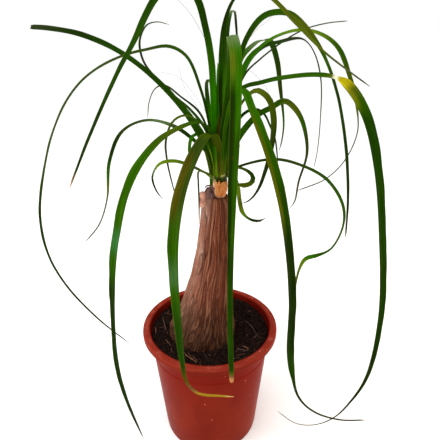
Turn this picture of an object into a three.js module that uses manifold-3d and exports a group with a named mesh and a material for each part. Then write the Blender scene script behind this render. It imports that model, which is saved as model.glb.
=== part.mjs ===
// A ponytail palm in its round plastic nursery pot: pot, soil, swollen trunk, crown of leaf bases and
// the leaves. Millimetres, +Z up, origin at the centre of the pot's underside, -Y towards the front,
// +X to the right.
import * as THREE from "three";
import { mergeVertices } from "three/addons/utils/BufferGeometryUtils.js";
import Module from "manifold-3d";

const wasm = await Module();
wasm.setup();

// Driving dimensions
const GAP = 0.3; // between pieces that touch
const POT_HEIGHT = 121;
const POT_WALL = 1.6;
const POT_FLOOR = 2.2;
const POT_FOOT_RADIUS = 46.8;
const POT_MOUTH_RADIUS = 58.3; // outside of the wall at the very top
const RIM_RADIUS = 65;
const RIM_MOUTH = 58; // inside of the rim, a step wider than the wall below it
const RIM_DROP = 5.5; // depth of the rolled rim's outer edge
const RIM_SHEET = 1.6;
const RIM_STEP = 110; // height where the wall steps out to carry the rim
const DRAIN_HOLES = 6;
const DRAIN_RADIUS = 4;
const DRAIN_CIRCLE = 33;
const SOIL_TOP = 113; // height of the soil round the trunk, above the table
const SOIL_EDGE = 115.5; // height of the soil at the pot's wall
const SOIL_RELIEF = 1.1;
const CROWN_AT = new THREE.Vector3(10, 0, 270); // where the leaves rise from the trunk
const STUB_RADIUS = 5.6; // of the pale stub that carries the crown
const STUB_TOP = 268;
const STEM_RADIUS = 3.8; // of the crown's foot, in a socket in the stub
const SOCKET_DEPTH = 6;
const BLADE_THICKNESS = 0.8;
const LEAF_FOLD = 0.16; // rise of a leaf's edges over its midrib, as a share of its width
const FOOT_SPREAD = 0.55; // how much wider than its blade a leaf is at its very foot
const STATION_STEP = 25; // between sections of a straight blade
const STATION_TURN = 0.48; // radians of bend or twist that add one more section

// The trunk's outline: height, middle to the right, radius.
const TRUNK = [
  [76, -7.6, 7],
  [83, -7.6, 15],
  [92, -7.6, 22],
  [101, -7.6, 28],
  [109, -7.6, 31.4],
  [116, -7.5, 32.2],
  [122, -7, 31.2],
  [129, -5.8, 28.8],
  [138, -4, 26],
  [149, -2, 23.6],
  [161, -0.4, 21.2],
  [174, 1.4, 18.9],
  [188, 3, 17.1],
  [202, 4.2, 15.5],
  [216, 5.3, 14.3],
  [230, 6.2, 13.2],
  [243, 6.8, 12.6],
  [250, 7, 12],
  [254, 7.1, 10],
];

// The leaves. Heading is the way a leaf grows, in degrees from +X towards +Y. The sheath is the
// length of its foot that clasps the stem and belongs to the crown. A spine point is its reach out
// from the crown, its height above the crown's foot and, where the leaf strays from its own upright
// plane, the degrees that it strays. Widths, and twists that turn the blade about its spine in
// degrees, are stops at shares of the leaf's length.
const LEAVES = {
  // front
  leaf_front: {
    heading: 276, sheath: 64,
    spine: [[6, 3], [6.5, 20, 15], [9, 52, 28], [17, 86, 22], [29, 106, 10], [41, 112, 4],
      [51, 103, 4], [57, 80, 3.4], [60, 35, 1.6], [64, -20, -0.2], [69, -95, -1.2], [74, -154, -0.3]],
    widths: [[0, 6], [0.15, 7.4], [0.35, 7.8], [0.5, 7.6], [0.62, 6], [0.72, 4.7], [0.93, 4.4],
      [1, 3.6]],
    twist: [[0, 0], [0.3, 0], [0.4, 8], [1, 6]],
  },
  leaf_front_broad: {
    heading: 247, sheath: 46,
    spine: [[6.2, 0], [6, 14], [7, 28], [12, 38], [22, 41], [36, 39], [58, 27], [74, 12], [86, -13],
      [89, -46], [86, -93], [83, -128], [82, -150, 2], [79, -162, 8], [75, -167, 22], [75, -169, 30]],
    widths: [[0, 6], [0.14, 8], [0.25, 9.6], [0.4, 9.2], [0.52, 7.9], [0.7, 6.4], [0.8, 4.6],
      [0.86, 3.4], [0.94, 3.2], [1, 1.2]],
    twist: [[0, 0], [0.8, 0], [0.9, -25], [1, -40]],
  },
  leaf_front_left: {
    heading: 217, sheath: 46,
    spine: [[6.4, 2], [6.6, 18], [8, 33], [13, 45], [22, 49], [38, 47], [55, 41], [72, 28], [86, 8],
      [95, -17], [102, -45], [108, -104], [109, -142], [105, -178], [93, -238]],
    widths: [[0, 5], [0.2, 7.2], [0.33, 8.2], [0.5, 7.6], [0.62, 6.6], [0.8, 5], [0.92, 3.4],
      [1, 1.2]],
    twist: [[0, 0], [0.2, -5], [0.32, -16], [0.5, -16], [0.62, -6], [0.8, -26], [1, -26]],
  },
  leaf_front_right: {
    heading: 315, sheath: 68,
    spine: [[6.2, 3], [6.6, 22], [9, 46], [15, 66], [23.5, 73], [32, 61], [42, 44], [52, 25],
      [62.5, -1], [72.5, -41], [79, -85], [81, -137], [86, -161], [95, -175, -2], [106, -196, 5],
      [125, -211, 14], [146, -218, 21]],
    widths: [[0, 6], [0.2, 8], [0.33, 9.8], [0.5, 8.4], [0.66, 8.8], [0.73, 7.6], [0.78, 3],
      [0.83, 1.8], [1, 1.2]],
    twist: [[0, 0], [0.3, 10], [0.7, 12], [1, 0]],
  },
  // right
  leaf_right_bow: {
    heading: 334, sheath: 50,
    spine: [[5.6, 6], [7, 24], [11, 45], [18, 61], [25, 69.5], [31, 72.5], [40, 67], [44, 54],
      [44, 36], [40, 14], [33, -7], [26, -16, -2], [20, -19, -5]],
    widths: [[0, 4], [0.3, 4.8], [0.5, 4.6], [0.8, 3.4], [1, 1.2]],
    twist: [[0, 20], [0.4, 35], [1, 50]],
  },
  leaf_curl: {
    heading: 331, sheath: 8,
    spine: [[5, 5], [10, 10], [18, 11], [26, 9], [31, 5], [29, 0], [23, -3, -3], [16, -3, -8]],
    widths: [[0, 3], [0.3, 2.8], [0.55, 3.2], [0.7, 4.6], [0.9, 5.4], [1, 4]],
    twist: [[0, 0], [1, 70]],
  },
  leaf_low_hook: {
    heading: 341, sheath: 7,
    spine: [[5, 3], [11, 4], [15.5, -7], [17, -18], [20, -29], [27, -34.5], [35, -35], [41, -31]],
    widths: [[0, 3.4], [0.3, 4.4], [0.58, 4.4], [0.72, 2.4], [0.85, 2.8], [1, 1.2]],
    twist: [[0, 20], [0.5, 38], [1, 38]],
  },
  leaf_far_right: {
    heading: 343, sheath: 66,
    spine: [[5.4, 8], [6.4, 28], [9, 54], [14, 70], [22, 75], [31, 76.5], [46, 81.5], [72, 84.4],
      [88, 82.8], [97, 76.5], [110.5, 57], [122, 24], [134, -35], [144, -110], [142, -180],
      [132, -214], [117, -243], [99, -258], [81, -261], [62, -250]],
    widths: [[0, 4.6], [0.12, 5], [0.24, 5], [0.262, 7.4], [0.5, 7], [0.7, 5], [0.8, 3.2], [0.88, 1.8],
      [1, 1.2]],
    twist: [[0, 20], [0.23, 25], [0.262, 70], [0.45, 55], [0.8, 70], [1, 70]],
  },
  leaf_right_tall: {
    heading: 351, sheath: 42,
    spine: [[4.2, 14], [3.2, 34], [2.6, 64], [3, 101], [5, 122], [12, 136], [24, 143], [37, 135],
      [54, 120], [75, 101], [98, 85], [112, 76]],
    widths: [[0, 4.6], [0.3, 7], [0.45, 5.8], [0.7, 3.6], [0.82, 1.8], [1, 1.2]],
    twist: [[0, 50], [0.3, 60], [1, 60]],
  },
  leaf_low_right: {
    heading: 354, sheath: 10,
    spine: [[5, 1], [12, 8], [27, 14], [46, 17], [65, 13], [88, 1], [103, -20], [106, -40], [98, -63],
      [87, -70], [77, -74], [72, -85], [69, -115]],
    widths: [[0, 3], [0.3, 3.4], [0.55, 3.9], [0.7, 3.4], [0.8, 4], [0.9, 2.4], [1, 1.2]],
    twist: [[0, 15], [0.3, 20], [0.5, 43], [0.66, 46], [0.72, 60], [0.8, 100], [0.86, 70], [1, 53]],
  },
  leaf_right_crook: {
    heading: 358, sheath: 42,
    spine: [[6.2, 1], [8, 16], [12, 28], [20, 41], [30, 52], [41, 58], [50, 63], [57, 59], [65, 48],
      [71, 22], [66, -3], [64, -21], [60, -28]],
    widths: [[0, 4], [0.22, 5.4], [0.5, 5.2], [0.7, 3.8], [0.9, 2.4], [1, 1.2]],
    twist: [[0, 30], [0.22, 60], [0.35, 42], [0.52, 54], [0.7, 48], [1, 55]],
  },
  leaf_right_thread: {
    heading: 8, sheath: 40,
    spine: [[5, 8], [7, 24], [11, 40], [20, 53], [29, 56], [36, 52], [41, 43], [46, 32], [50, 9]],
    widths: [[0, 2.4], [0.5, 2.2], [1, 1.2]],
    twist: [[0, 40], [1, 50]],
  },
  leaf_right_arch: {
    heading: 8, sheath: 60,
    spine: [[4.6, 12], [5.4, 32], [7.8, 56], [13, 80], [21, 108], [34, 123.5], [52, 125], [66, 115],
      [81, 97], [96, 67], [109, 23], [117, -24], [120, -66]],
    widths: [[0, 4.4], [0.2, 5.4], [0.42, 5.4], [0.62, 4.4], [0.85, 3.6], [1, 2.2]],
    twist: [[0, 20], [0.25, 30], [0.43, 60], [0.54, 48], [0.8, 66], [1, 66]],
  },
  leaf_right_hoop: {
    heading: 20, sheath: 66,
    spine: [[5, 9], [6.2, 30], [9.4, 55], [18, 81], [28, 96], [43, 107], [65, 113], [85, 111],
      [105, 100], [120, 77], [131, 52], [136, 27], [126, 2], [107, -14], [76, -22]],
    widths: [[0, 3.2], [0.22, 4.2], [0.55, 4.6], [0.64, 3.6], [0.74, 1.4], [1, 1.2]],
    twist: [[0, 0], [0.36, 18], [0.46, 50], [0.56, 90], [1, 90]],
  },
  leaf_inner_arch: {
    heading: 33, sheath: 60,
    spine: [[5, 8], [6.4, 28], [9.4, 50], [17, 71], [28, 92], [41, 101], [57, 104], [85, 106],
      [99, 96], [111, 72], [115, 38], [115, 6], [112, -13]],
    widths: [[0, 4], [0.3, 5], [0.47, 4.2], [0.62, 2.4], [0.72, 1.7], [1, 1.2]],
    twist: [[0, 10], [0.35, 30], [0.52, 28], [0.7, 85], [1, 85]],
  },
  leaf_right_wisp: {
    heading: 43, sheath: 40,
    spine: [[5, 8], [8, 30], [16, 60], [29, 81], [46, 91], [76, 104], [105, 113], [140, 118],
      [177, 120]],
    widths: [[0, 2.4], [0.4, 1.8], [1, 1.2]],
    twist: [[0, 0], [0.5, 20], [1, 50]],
  },
  // back
  leaf_cane: {
    heading: 55, sheath: 58,
    spine: [[4.8, 10], [7, 36], [12, 62], [22, 80], [31, 92], [45, 99], [64, 104.5], [82, 103],
      [97, 86], [107, 60], [119, 24], [117, 8], [112, -2]],
    widths: [[0, 4.2], [0.16, 5.6], [0.52, 5.8], [0.62, 5.2], [0.72, 4.2], [0.86, 2.3], [1, 1.2]],
    twist: [[0, 20], [0.3, 12], [0.44, 0], [0.57, -18], [1, -10]],
  },
  leaf_upright: {
    heading: 42, sheath: 40,
    spine: [[3.6, 18], [4.6, 42], [8, 70], [13, 98], [15, 129]],
    widths: [[0, 2.4], [0.6, 2.2], [1, 1.2]],
    twist: [[0, 0], [1, 0]],
  },
  leaf_spear: {
    heading: 98, sheath: 40,
    spine: [[2.6, 14], [2.4, 36], [4, 64], [8, 91]],
    widths: [[0, 3.6], [0.5, 4.2], [0.85, 3], [1, 1.2]],
    twist: [[0, 0], [1, 0]],
  },
  leaf_back_high: {
    heading: 76, sheath: 56,
    spine: [[5, 8], [7, 30], [11, 54], [22, 74], [34, 80], [45, 68], [51, 38], [53, -10], [51, -60]],
    widths: [[0, 4.4], [0.25, 5.8], [0.5, 5.4], [0.8, 3.6], [1, 1.2]],
    twist: [[0, 0], [1, 10]],
  },
  leaf_back_long: {
    heading: 87, sheath: 46,
    spine: [[5.8, 4], [7.6, 24], [13, 46], [28, 64], [48, 66], [64, 48], [74, 8], [78, -50],
      [76, -120]],
    widths: [[0, 5], [0.25, 6.8], [0.5, 6.4], [0.8, 4.2], [1, 1.4]],
    twist: [[0, 0], [1, -20]],
  },
  leaf_back_middle: {
    heading: 93.5, sheath: 42,
    spine: [[6.2, 1], [8.2, 18], [14, 34], [30, 46], [48, 40], [58, 14], [61, -34], [58, -80]],
    widths: [[0, 4.6], [0.25, 6], [0.55, 5.4], [0.85, 3], [1, 1.2]],
    twist: [[0, 0], [1, 20]],
  },
  leaf_back_short: {
    heading: 100, sheath: 36,
    spine: [[6.4, 0], [8.4, 10], [14, 20], [24, 24], [33, 12], [37, -16], [36, -48]],
    widths: [[0, 4.2], [0.3, 5], [0.6, 4.4], [0.9, 2.4], [1, 1.2]],
    twist: [[0, 0], [1, 0]],
  },
  leaf_folded: {
    heading: 126, sheath: 42,
    spine: [[4.6, 8], [6.6, 26], [11, 42], [16, 62], [17, 76], [13.5, 79], [10, 67]],
    widths: [[0, 3.2], [0.62, 3.8], [0.8, 2.8], [1, 1.2]],
    twist: [[0, -20], [1, -20]],
  },
  leaf_left_hook: {
    heading: 138, sheath: 42,
    spine: [[5.4, 5], [8, 22], [15, 38], [32, 52.5], [52, 62.5], [74, 76], [88, 89], [91, 104],
      [81, 117], [67, 120], [53, 118]],
    widths: [[0, 3], [0.25, 3.4], [0.65, 2.6], [0.85, 1.6], [1, 1.2]],
    twist: [[0, -8], [0.6, 0], [1, -40]],
  },
  leaf_left_wisp: {
    heading: 150, sheath: 40,
    spine: [[5, 7], [6.8, 22], [11, 38], [19, 53], [36, 64], [51, 72], [61, 69], [68, 58], [71, 44]],
    widths: [[0, 2.4], [0.4, 2.4], [0.6, 1.8], [1, 1.2]],
    twist: [[0, -20], [0.5, -20], [0.75, -50], [1, -80]],
  },
  // left
  leaf_far_left: {
    heading: 160, sheath: 42,
    spine: [[6.3, 0], [7.6, 13], [12, 28], [24, 46], [43, 67], [66, 86], [92, 101], [122, 111],
      [150, 115], [167, 116]],
    widths: [[0, 5], [0.17, 7], [0.42, 6.6], [0.62, 5.8], [0.82, 5], [1, 4.4]],
    twist: [[0, -30], [0.17, -50], [0.28, -22], [0.5, -18], [0.7, -38], [1, -60]],
  },
  leaf_left_hoop: {
    heading: 186, sheath: 44,
    spine: [[5.2, 8], [6.6, 28], [9.4, 48], [15, 72], [25, 96], [37, 103], [54, 101], [74, 96],
      [96, 85], [112, 70], [127, 46], [140, 12], [149, -26], [148, -62], [137, -95], [114, -133],
      [89, -164]],
    widths: [[0, 3.2], [0.22, 4.2], [0.52, 3.9], [0.72, 3.3], [0.9, 2.4], [1, 1.2]],
    twist: [[0, -30], [0.18, -35], [0.33, -18], [0.52, -26], [0.62, -46], [0.8, -60], [1, -72]],
  },
  leaf_left_crook: {
    heading: 190, sheath: 42,
    spine: [[6.4, -0.5], [7.6, 12], [11.5, 23], [19, 31], [36, 44.5], [57, 50.5], [76, 43], [88, 20],
      [93, -10], [102, -33], [115, -48]],
    widths: [[0, 3.4], [0.25, 4.4], [0.55, 4.3], [0.72, 2.9], [0.8, 1.6], [1, 1.2]],
    twist: [[0, -30], [0.25, -37], [0.34, -21], [0.44, -10], [0.54, -35], [0.73, -46], [1, -50]],
  },
  leaf_left_tall: {
    heading: 197, sheath: 42,
    spine: [[5, 12], [4.8, 34], [5.6, 62], [7, 92], [11.5, 117], [17.5, 135], [30, 148], [46, 134],
      [62, 108], [78, 83], [100, 44], [120, 5]],
    widths: [[0, 5], [0.22, 6.4], [0.56, 6.4], [0.72, 5.2], [0.86, 4], [0.97, 2.4], [1, 1.4]],
    twist: [[0, -55], [0.2, -70], [0.38, -66], [0.56, -37], [0.72, -23], [1, -30]],
  },
  leaf_left_loop: {
    heading: 198, sheath: 50,
    spine: [[5.4, 6], [6.4, 20], [9, 34], [16, 47], [28, 54], [38, 50], [44, 36], [44, 20], [39, -10]],
    widths: [[0, 2.4], [0.6, 2.4], [1, 1.2]],
    twist: [[0, -30], [0.5, -28], [1, -38]],
  },
  leaf_low_left: {
    heading: 204, sheath: 9,
    spine: [[5, 2], [10, 4.5], [16, 8], [26, 14], [40, 20], [52, 19], [58, 10], [56, -1], [51, -10]],
    widths: [[0, 3], [0.4, 3.5], [0.55, 3.5], [0.68, 2.4], [0.85, 1.8], [1, 1.2]],
    twist: [[0, -28], [0.4, -40], [0.5, -38], [0.6, -24], [0.7, -10], [0.8, -40], [1, -40]],
  },
  leaf_short_left: {
    heading: 211, sheath: 38,
    spine: [[5.8, 2], [7, 14], [10.5, 27], [17, 39], [25, 38.5], [28, 29], [28, 19]],
    widths: [[0, 3], [0.5, 3.6], [0.8, 3.2], [1, 1.2]],
    twist: [[0, -20], [1, -22]],
  },
  leaf_low_thread: {
    heading: 224, sheath: 9,
    spine: [[5, 3], [12, 8], [19, 9], [23.5, 4], [25, -12], [28, -41]],
    widths: [[0, 2], [1, 1.2]],
    twist: [[0, 0], [1, 0]],
  },
};

// Colours
const TERRACOTTA_PLASTIC = { color: 0xa8392a, roughness: 0.42, metalness: 0 };
const PEAT = { color: 0x1c1512, roughness: 0.95, metalness: 0 };
const BARK = { color: 0x8a5a44, roughness: 0.9, metalness: 0 };
const LEAF_GREEN = { color: 0x2f5a12, roughness: 0.45, metalness: 0 };
const SHEATH_GREEN = { color: 0x5c8426, roughness: 0.5, metalness: 0 };

const root = new THREE.Group();
root.name = "potted_ponytail_palm";

function add(name, geometry, finish) {
  const mesh = new THREE.Mesh(geometry, new THREE.MeshStandardMaterial(finish));
  mesh.name = name;
  root.add(mesh);
}

// A closed geometry as a solid that can be joined and cut.
function solidOf(geometry) {
  const bare = new THREE.BufferGeometry().setAttribute("position", geometry.getAttribute("position"));
  bare.setIndex(geometry.index);
  const merged = mergeVertices(bare, 1e-4);
  return new wasm.Manifold(
    new wasm.Mesh({
      numProp: 3,
      vertProperties: merged.getAttribute("position").array,
      triVerts: new Uint32Array(merged.index.array),
    }),
  );
}

function geometryOf(solid) {
  const { vertProperties, triVerts } = solid.getMesh();
  const geometry = new THREE.BufferGeometry();
  geometry.setAttribute("position", new THREE.BufferAttribute(vertProperties, 3));
  geometry.setIndex(new THREE.BufferAttribute(triVerts, 1));
  geometry.computeVertexNormals();
  return geometry;
}

// A turned solid about +Z from a profile of [radius, height] that starts and ends on the axis.
function turned(profile, sides) {
  const points = profile.map(([r, z]) => new THREE.Vector2(r, z));
  return new THREE.LatheGeometry(points, sides).rotateX(Math.PI / 2);
}

// The pot: flat foot with drainage holes, thin flared wall and a rolled rim.
const wallRadius = (z) => THREE.MathUtils.lerp(POT_FOOT_RADIUS, POT_MOUTH_RADIUS, z / POT_HEIGHT);
const innerRadius = (z) => wallRadius(z) - POT_WALL;

function pot() {
  const underLip = POT_HEIGHT - RIM_SHEET;
  const profile = [
    [0, 0],
    [POT_FOOT_RADIUS - 2.5, 0],
    [POT_FOOT_RADIUS - 0.6, 0.8],
    [wallRadius(2.8), 2.8],
    [wallRadius(RIM_STEP), RIM_STEP],
    [RIM_MOUTH + POT_WALL, RIM_STEP + 2.4],
    [RIM_MOUTH + POT_WALL, underLip - 0.8],
    [RIM_MOUTH + POT_WALL + 0.8, underLip],
    [RIM_RADIUS - RIM_SHEET - 0.8, underLip],
    [RIM_RADIUS - RIM_SHEET, underLip - 0.8],
    [RIM_RADIUS - RIM_SHEET, POT_HEIGHT - RIM_DROP],
    [RIM_RADIUS - 0.4, POT_HEIGHT - RIM_DROP],
    [RIM_RADIUS, POT_HEIGHT - RIM_DROP + 0.7],
    [RIM_RADIUS, POT_HEIGHT - 1.8],
    [RIM_RADIUS - 0.7, POT_HEIGHT - 0.6],
    [RIM_RADIUS - 2.2, POT_HEIGHT],
    [RIM_MOUTH + 1.4, POT_HEIGHT],
    [RIM_MOUTH + 0.2, POT_HEIGHT - 0.6],
    [RIM_MOUTH, POT_HEIGHT - 1.8],
    [RIM_MOUTH, RIM_STEP + 2.8],
    [innerRadius(RIM_STEP), RIM_STEP + 0.4],
    [innerRadius(POT_FLOOR + 2.5), POT_FLOOR + 2.5],
    [innerRadius(POT_FLOOR) - 2.2, POT_FLOOR],
    [0, POT_FLOOR],
  ];
  let body = solidOf(turned(profile, 60));
  for (let k = 0; k < DRAIN_HOLES; k++) {
    const angle = (k / DRAIN_HOLES) * 2 * Math.PI;
    const drill = new THREE.CylinderGeometry(DRAIN_RADIUS, DRAIN_RADIUS, 4 * POT_FLOOR, 12)
      .rotateX(Math.PI / 2)
      .translate(DRAIN_CIRCLE * Math.cos(angle), DRAIN_CIRCLE * Math.sin(angle), 0);
    body = body.subtract(solidOf(drill));
  }
  return geometryOf(body);
}

// The bark's broad flutes: they run up the trunk, lean and merge towards the neck, and fade out at
// the soil.
function barkRelief(angle, height) {
  const rise = (height - SOIL_TOP) / (CROWN_AT.z - SOIL_TOP);
  const shown = THREE.MathUtils.smoothstep(rise, 0.03, 0.2) * (1 - 0.5 * rise);
  const wander = 0.35 * Math.sin(5 * rise + 2 * angle) + 0.5 * rise;
  const flutes = 0.6 * Math.cos(11 * (angle + wander)) + 0.4 * Math.cos(19 * (angle - 0.6 * wander) + 1);
  return shown * flutes;
}

// A closed surface through the trunk's rings, with a flat fan at each end.
function trunkSkin(sides) {
  const positions = [];
  const index = [];
  TRUNK.forEach(([z, x, radius], i) => {
    for (let j = 0; j < sides; j++) {
      const angle = (j / sides) * 2 * Math.PI;
      const r = radius + barkRelief(angle, z);
      positions.push(x + r * Math.cos(angle), r * Math.sin(angle), z);
      if (i === 0) continue;
      const a = i * sides + j;
      const b = i * sides + ((j + 1) % sides);
      index.push(a - sides, b - sides, b, a - sides, b, a);
    }
  });
  for (const [end, [z, x]] of [[0, TRUNK[0]], [1, TRUNK.at(-1)]]) {
    const hub = positions.length / 3;
    const ring = end ? (TRUNK.length - 1) * sides : 0;
    positions.push(x, 0, z);
    for (let j = 0; j < sides; j++) {
      const a = ring + j;
      const b = ring + ((j + 1) % sides);
      index.push(...(end ? [a, b, hub] : [b, a, hub]));
    }
  }
  const geometry = new THREE.BufferGeometry();
  geometry.setAttribute("position", new THREE.Float32BufferAttribute(positions, 3));
  return geometry.setIndex(index);
}

// The trunk: swollen base, neck, the dead stub and knob of old cuts on its left shoulder, and the
// pale stub that the crown stands in.
function trunk() {
  const paleStub = turned(
    [[0, 244], [STUB_RADIUS + 0.8, 244], [STUB_RADIUS + 0.5, 256], [STUB_RADIUS, 263],
      [STUB_RADIUS + 0.2, STUB_TOP - 1], [STUB_RADIUS - 0.4, STUB_TOP], [0, STUB_TOP]],
    18,
  ).translate(CROWN_AT.x, CROWN_AT.y, 0);
  const deadStub = turned([[0, 246], [4.4, 246], [4.2, 255], [3.2, 261], [1.6, 264.5], [0, 265]], 10);
  deadStub.translate(0.4, -1, 0);
  const knob = turned([[0, 242], [3.4, 242], [3.8, 250], [3.2, 256.5], [1.6, 259], [0, 259.4]], 10);
  knob.translate(-2.8, -2.4, 0);
  const socketRadius = STEM_RADIUS + 1.3 * GAP;
  const socket = new THREE.CylinderGeometry(socketRadius, socketRadius, 2 * SOCKET_DEPTH, 18)
    .rotateX(Math.PI / 2)
    .translate(CROWN_AT.x, CROWN_AT.y, STUB_TOP);
  const grown = [paleStub, deadStub, knob].reduce(
    (whole, piece) => whole.add(solidOf(piece)),
    solidOf(trunkSkin(54)),
  );
  return geometryOf(grown.subtract(solidOf(socket)));
}

// The soil: fills the pot, a little uneven on top, with a plain hole that the trunk stands in.
function soil() {
  const body = turned(
    [[0, POT_FLOOR + GAP], [innerRadius(POT_FLOOR) - 4, POT_FLOOR + GAP],
      [innerRadius(POT_FLOOR + 5) - 2 * GAP, POT_FLOOR + 5],
      [innerRadius(RIM_STEP) - 2 * GAP, RIM_STEP + 0.4],
      [RIM_MOUTH - 1.2, RIM_STEP + 2.6], [RIM_MOUTH - 1.2, SOIL_EDGE - 0.8], [RIM_MOUTH - 2, SOIL_EDGE],
      [51, SOIL_EDGE - 0.8], [44, SOIL_TOP + 0.6], [38, SOIL_TOP + 0.4], [0, SOIL_TOP + 0.4]],
    48,
  );
  const position = body.getAttribute("position");
  for (let i = 0; i < position.count; i++) {
    const x = position.getX(i);
    const y = position.getY(i);
    const z = position.getZ(i);
    if (z < SOIL_TOP || Math.hypot(x, y) < 1) continue;
    const bumps = Math.sin(x / 5.5 + 1.3 * Math.cos(y / 7)) * Math.cos(y / 6.2 + Math.sin(x / 9));
    position.setZ(i, z + SOIL_RELIEF * bumps);
  }
  const buried = TRUNK.filter(([z]) => z < SOIL_TOP + 5);
  const hole = turned(
    [[0, buried[0][0] - GAP], [buried[0][2] + 2 * GAP, buried[0][0] - GAP],
      ...buried.slice(1).map(([z, , r]) => [r + 2 * GAP, z]),
      [buried.at(-1)[2] + 2 * GAP, SOIL_TOP + 5], [0, SOIL_TOP + 5]],
    54,
  ).translate(buried[0][1], 0, 0);
  return geometryOf(solidOf(body).subtract(solidOf(hole)));
}

// The value at a share of a leaf's length, between its [share, value] stops.
function stopsAt(stops, share) {
  const next = stops.findIndex(([at]) => at > 0 && at >= share);
  if (next < 0) return stops.at(-1)[1];
  const [low, a] = stops[next - 1];
  const [high, b] = stops[next];
  return THREE.MathUtils.lerp(a, b, (share - low) / (high - low));
}

// The line that a leaf's midrib follows.
function spineOf({ heading, spine }) {
  const points = spine.map(([reach, height, stray = 0]) => {
    const angle = THREE.MathUtils.degToRad(heading + stray);
    return new THREE.Vector3(reach * Math.cos(angle), reach * Math.sin(angle), height).add(CROWN_AT);
  });
  return new THREE.CatmullRomCurve3(points, false, "centripetal");
}

// The blade's side direction, carried along the whole spine without turning about it.
const SIDE_STEPS = 160;
function sidesAlong(curve, heading) {
  const side = new THREE.Vector3(Math.sin(heading), -Math.cos(heading), 0);
  let bend = 0;
  let before = curve.getTangentAt(0);
  const sides = [];
  for (let i = 0; i <= SIDE_STEPS; i++) {
    const tangent = curve.getTangentAt(i / SIDE_STEPS);
    bend += tangent.angleTo(before);
    before = tangent;
    side.addScaledVector(tangent, -side.dot(tangent)).normalize();
    sides.push(side.clone());
  }
  return { sides, bend };
}

// A folded strap along a stretch of a leaf's spine, from one length to another in mm. The faces
// above and below are split into triangles alike.
function strap(leaf, from, to) {
  const curve = spineOf(leaf);
  const length = curve.getLength();
  const { sides, bend } = sidesAlong(curve, THREE.MathUtils.degToRad(leaf.heading));
  const share = (to - from) / length;
  const twists = leaf.twist.slice(1).map(([, turn], i) => Math.abs(turn - leaf.twist[i][1]));
  const turning = bend + THREE.MathUtils.degToRad(twists.reduce((a, b) => a + b));
  const steps = Math.max(2, Math.round((to - from) / STATION_STEP + (share * turning) / STATION_TURN));
  const points = [];
  for (let i = 0; i <= steps; i++) {
    const at = Math.min(1, THREE.MathUtils.lerp(from, to, i / steps) / length);
    const point = curve.getPointAt(at);
    const tangent = curve.getTangentAt(at);
    const across = sides[Math.round(at * SIDE_STEPS)].clone();
    across.addScaledVector(tangent, -across.dot(tangent)).normalize();
    across.applyAxisAngle(tangent, THREE.MathUtils.degToRad(stopsAt(leaf.twist, at)));
    const up = across.clone().cross(tangent);
    const clasp = 1 - THREE.MathUtils.smoothstep(at * length, 0, leaf.sheath);
    const width = stopsAt(leaf.widths, at) * (1 + FOOT_SPREAD * clasp);
    for (const face of [BLADE_THICKNESS / 2, -BLADE_THICKNESS / 2]) {
      for (const edge of [-0.5, 0, 0.5]) {
        const lift = face + (edge ? LEAF_FOLD * width : 0);
        points.push(point.clone().addScaledVector(across, edge * width).addScaledVector(up, lift));
      }
    }
  }
  const index = [];
  const section = 6; // left, middle and right above, then the same below
  for (let i = 0; i < steps; i++) {
    const a = i * section;
    const b = a + section;
    for (const k of [0, 1]) {
      index.push(a + k, a + k + 1, b + k + 1, a + k, b + k + 1, b + k);
      index.push(a + k + 3, b + k + 4, a + k + 4, a + k + 3, b + k + 3, b + k + 4);
    }
    index.push(a + 3, a, b, a + 3, b, b + 3);
    index.push(a + 5, b + 2, a + 2, a + 5, b + 5, b + 2);
  }
  const end = steps * section;
  for (const k of [0, 1]) {
    index.push(k, k + 3, k + 4, k, k + 4, k + 1);
    index.push(end + k, end + k + 4, end + k + 3, end + k, end + k + 1, end + k + 4);
  }
  return new THREE.BufferGeometry().setFromPoints(points).setIndex(index);
}

// The crown: a short tapering stem in the trunk's socket with the clasping foot of every leaf on it.
function crown() {
  const stem = turned(
    [[0, STUB_TOP - SOCKET_DEPTH + GAP], [STEM_RADIUS, STUB_TOP - SOCKET_DEPTH + GAP],
      [STEM_RADIUS, STUB_TOP + GAP], [5.4, STUB_TOP + GAP], [6, 275], [6, 286], [5, 300],
      [3.6, 316], [0, 324]],
    18,
  ).translate(CROWN_AT.x, CROWN_AT.y, 0);
  const feet = Object.values(LEAVES).map((leaf) => solidOf(strap(leaf, 0, leaf.sheath)));
  const joined = feet.reduce((whole, foot) => whole.add(foot), solidOf(stem));
  // The feet enclose a few specks of air: the largest body alone is the crown.
  return geometryOf(joined.decompose().reduce((a, b) => (a.volume() > b.volume() ? a : b)));
}

// A leaf's free blade, from the end of its foot to its tip.
function blade(leaf) {
  const geometry = strap(leaf, leaf.sheath + GAP, spineOf(leaf).getLength());
  geometry.computeVertexNormals();
  return geometry;
}

add("pot", pot(), TERRACOTTA_PLASTIC);
add("soil", soil(), PEAT);
add("trunk", trunk(), BARK);
add("crown", crown(), SHEATH_GREEN);
for (const [name, leaf] of Object.entries(LEAVES)) add(name, blade(leaf), LEAF_GREEN);

export default root;
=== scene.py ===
import math
import random

import bmesh
import bpy
from mathutils import Matrix, Quaternion, Vector, noise


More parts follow.
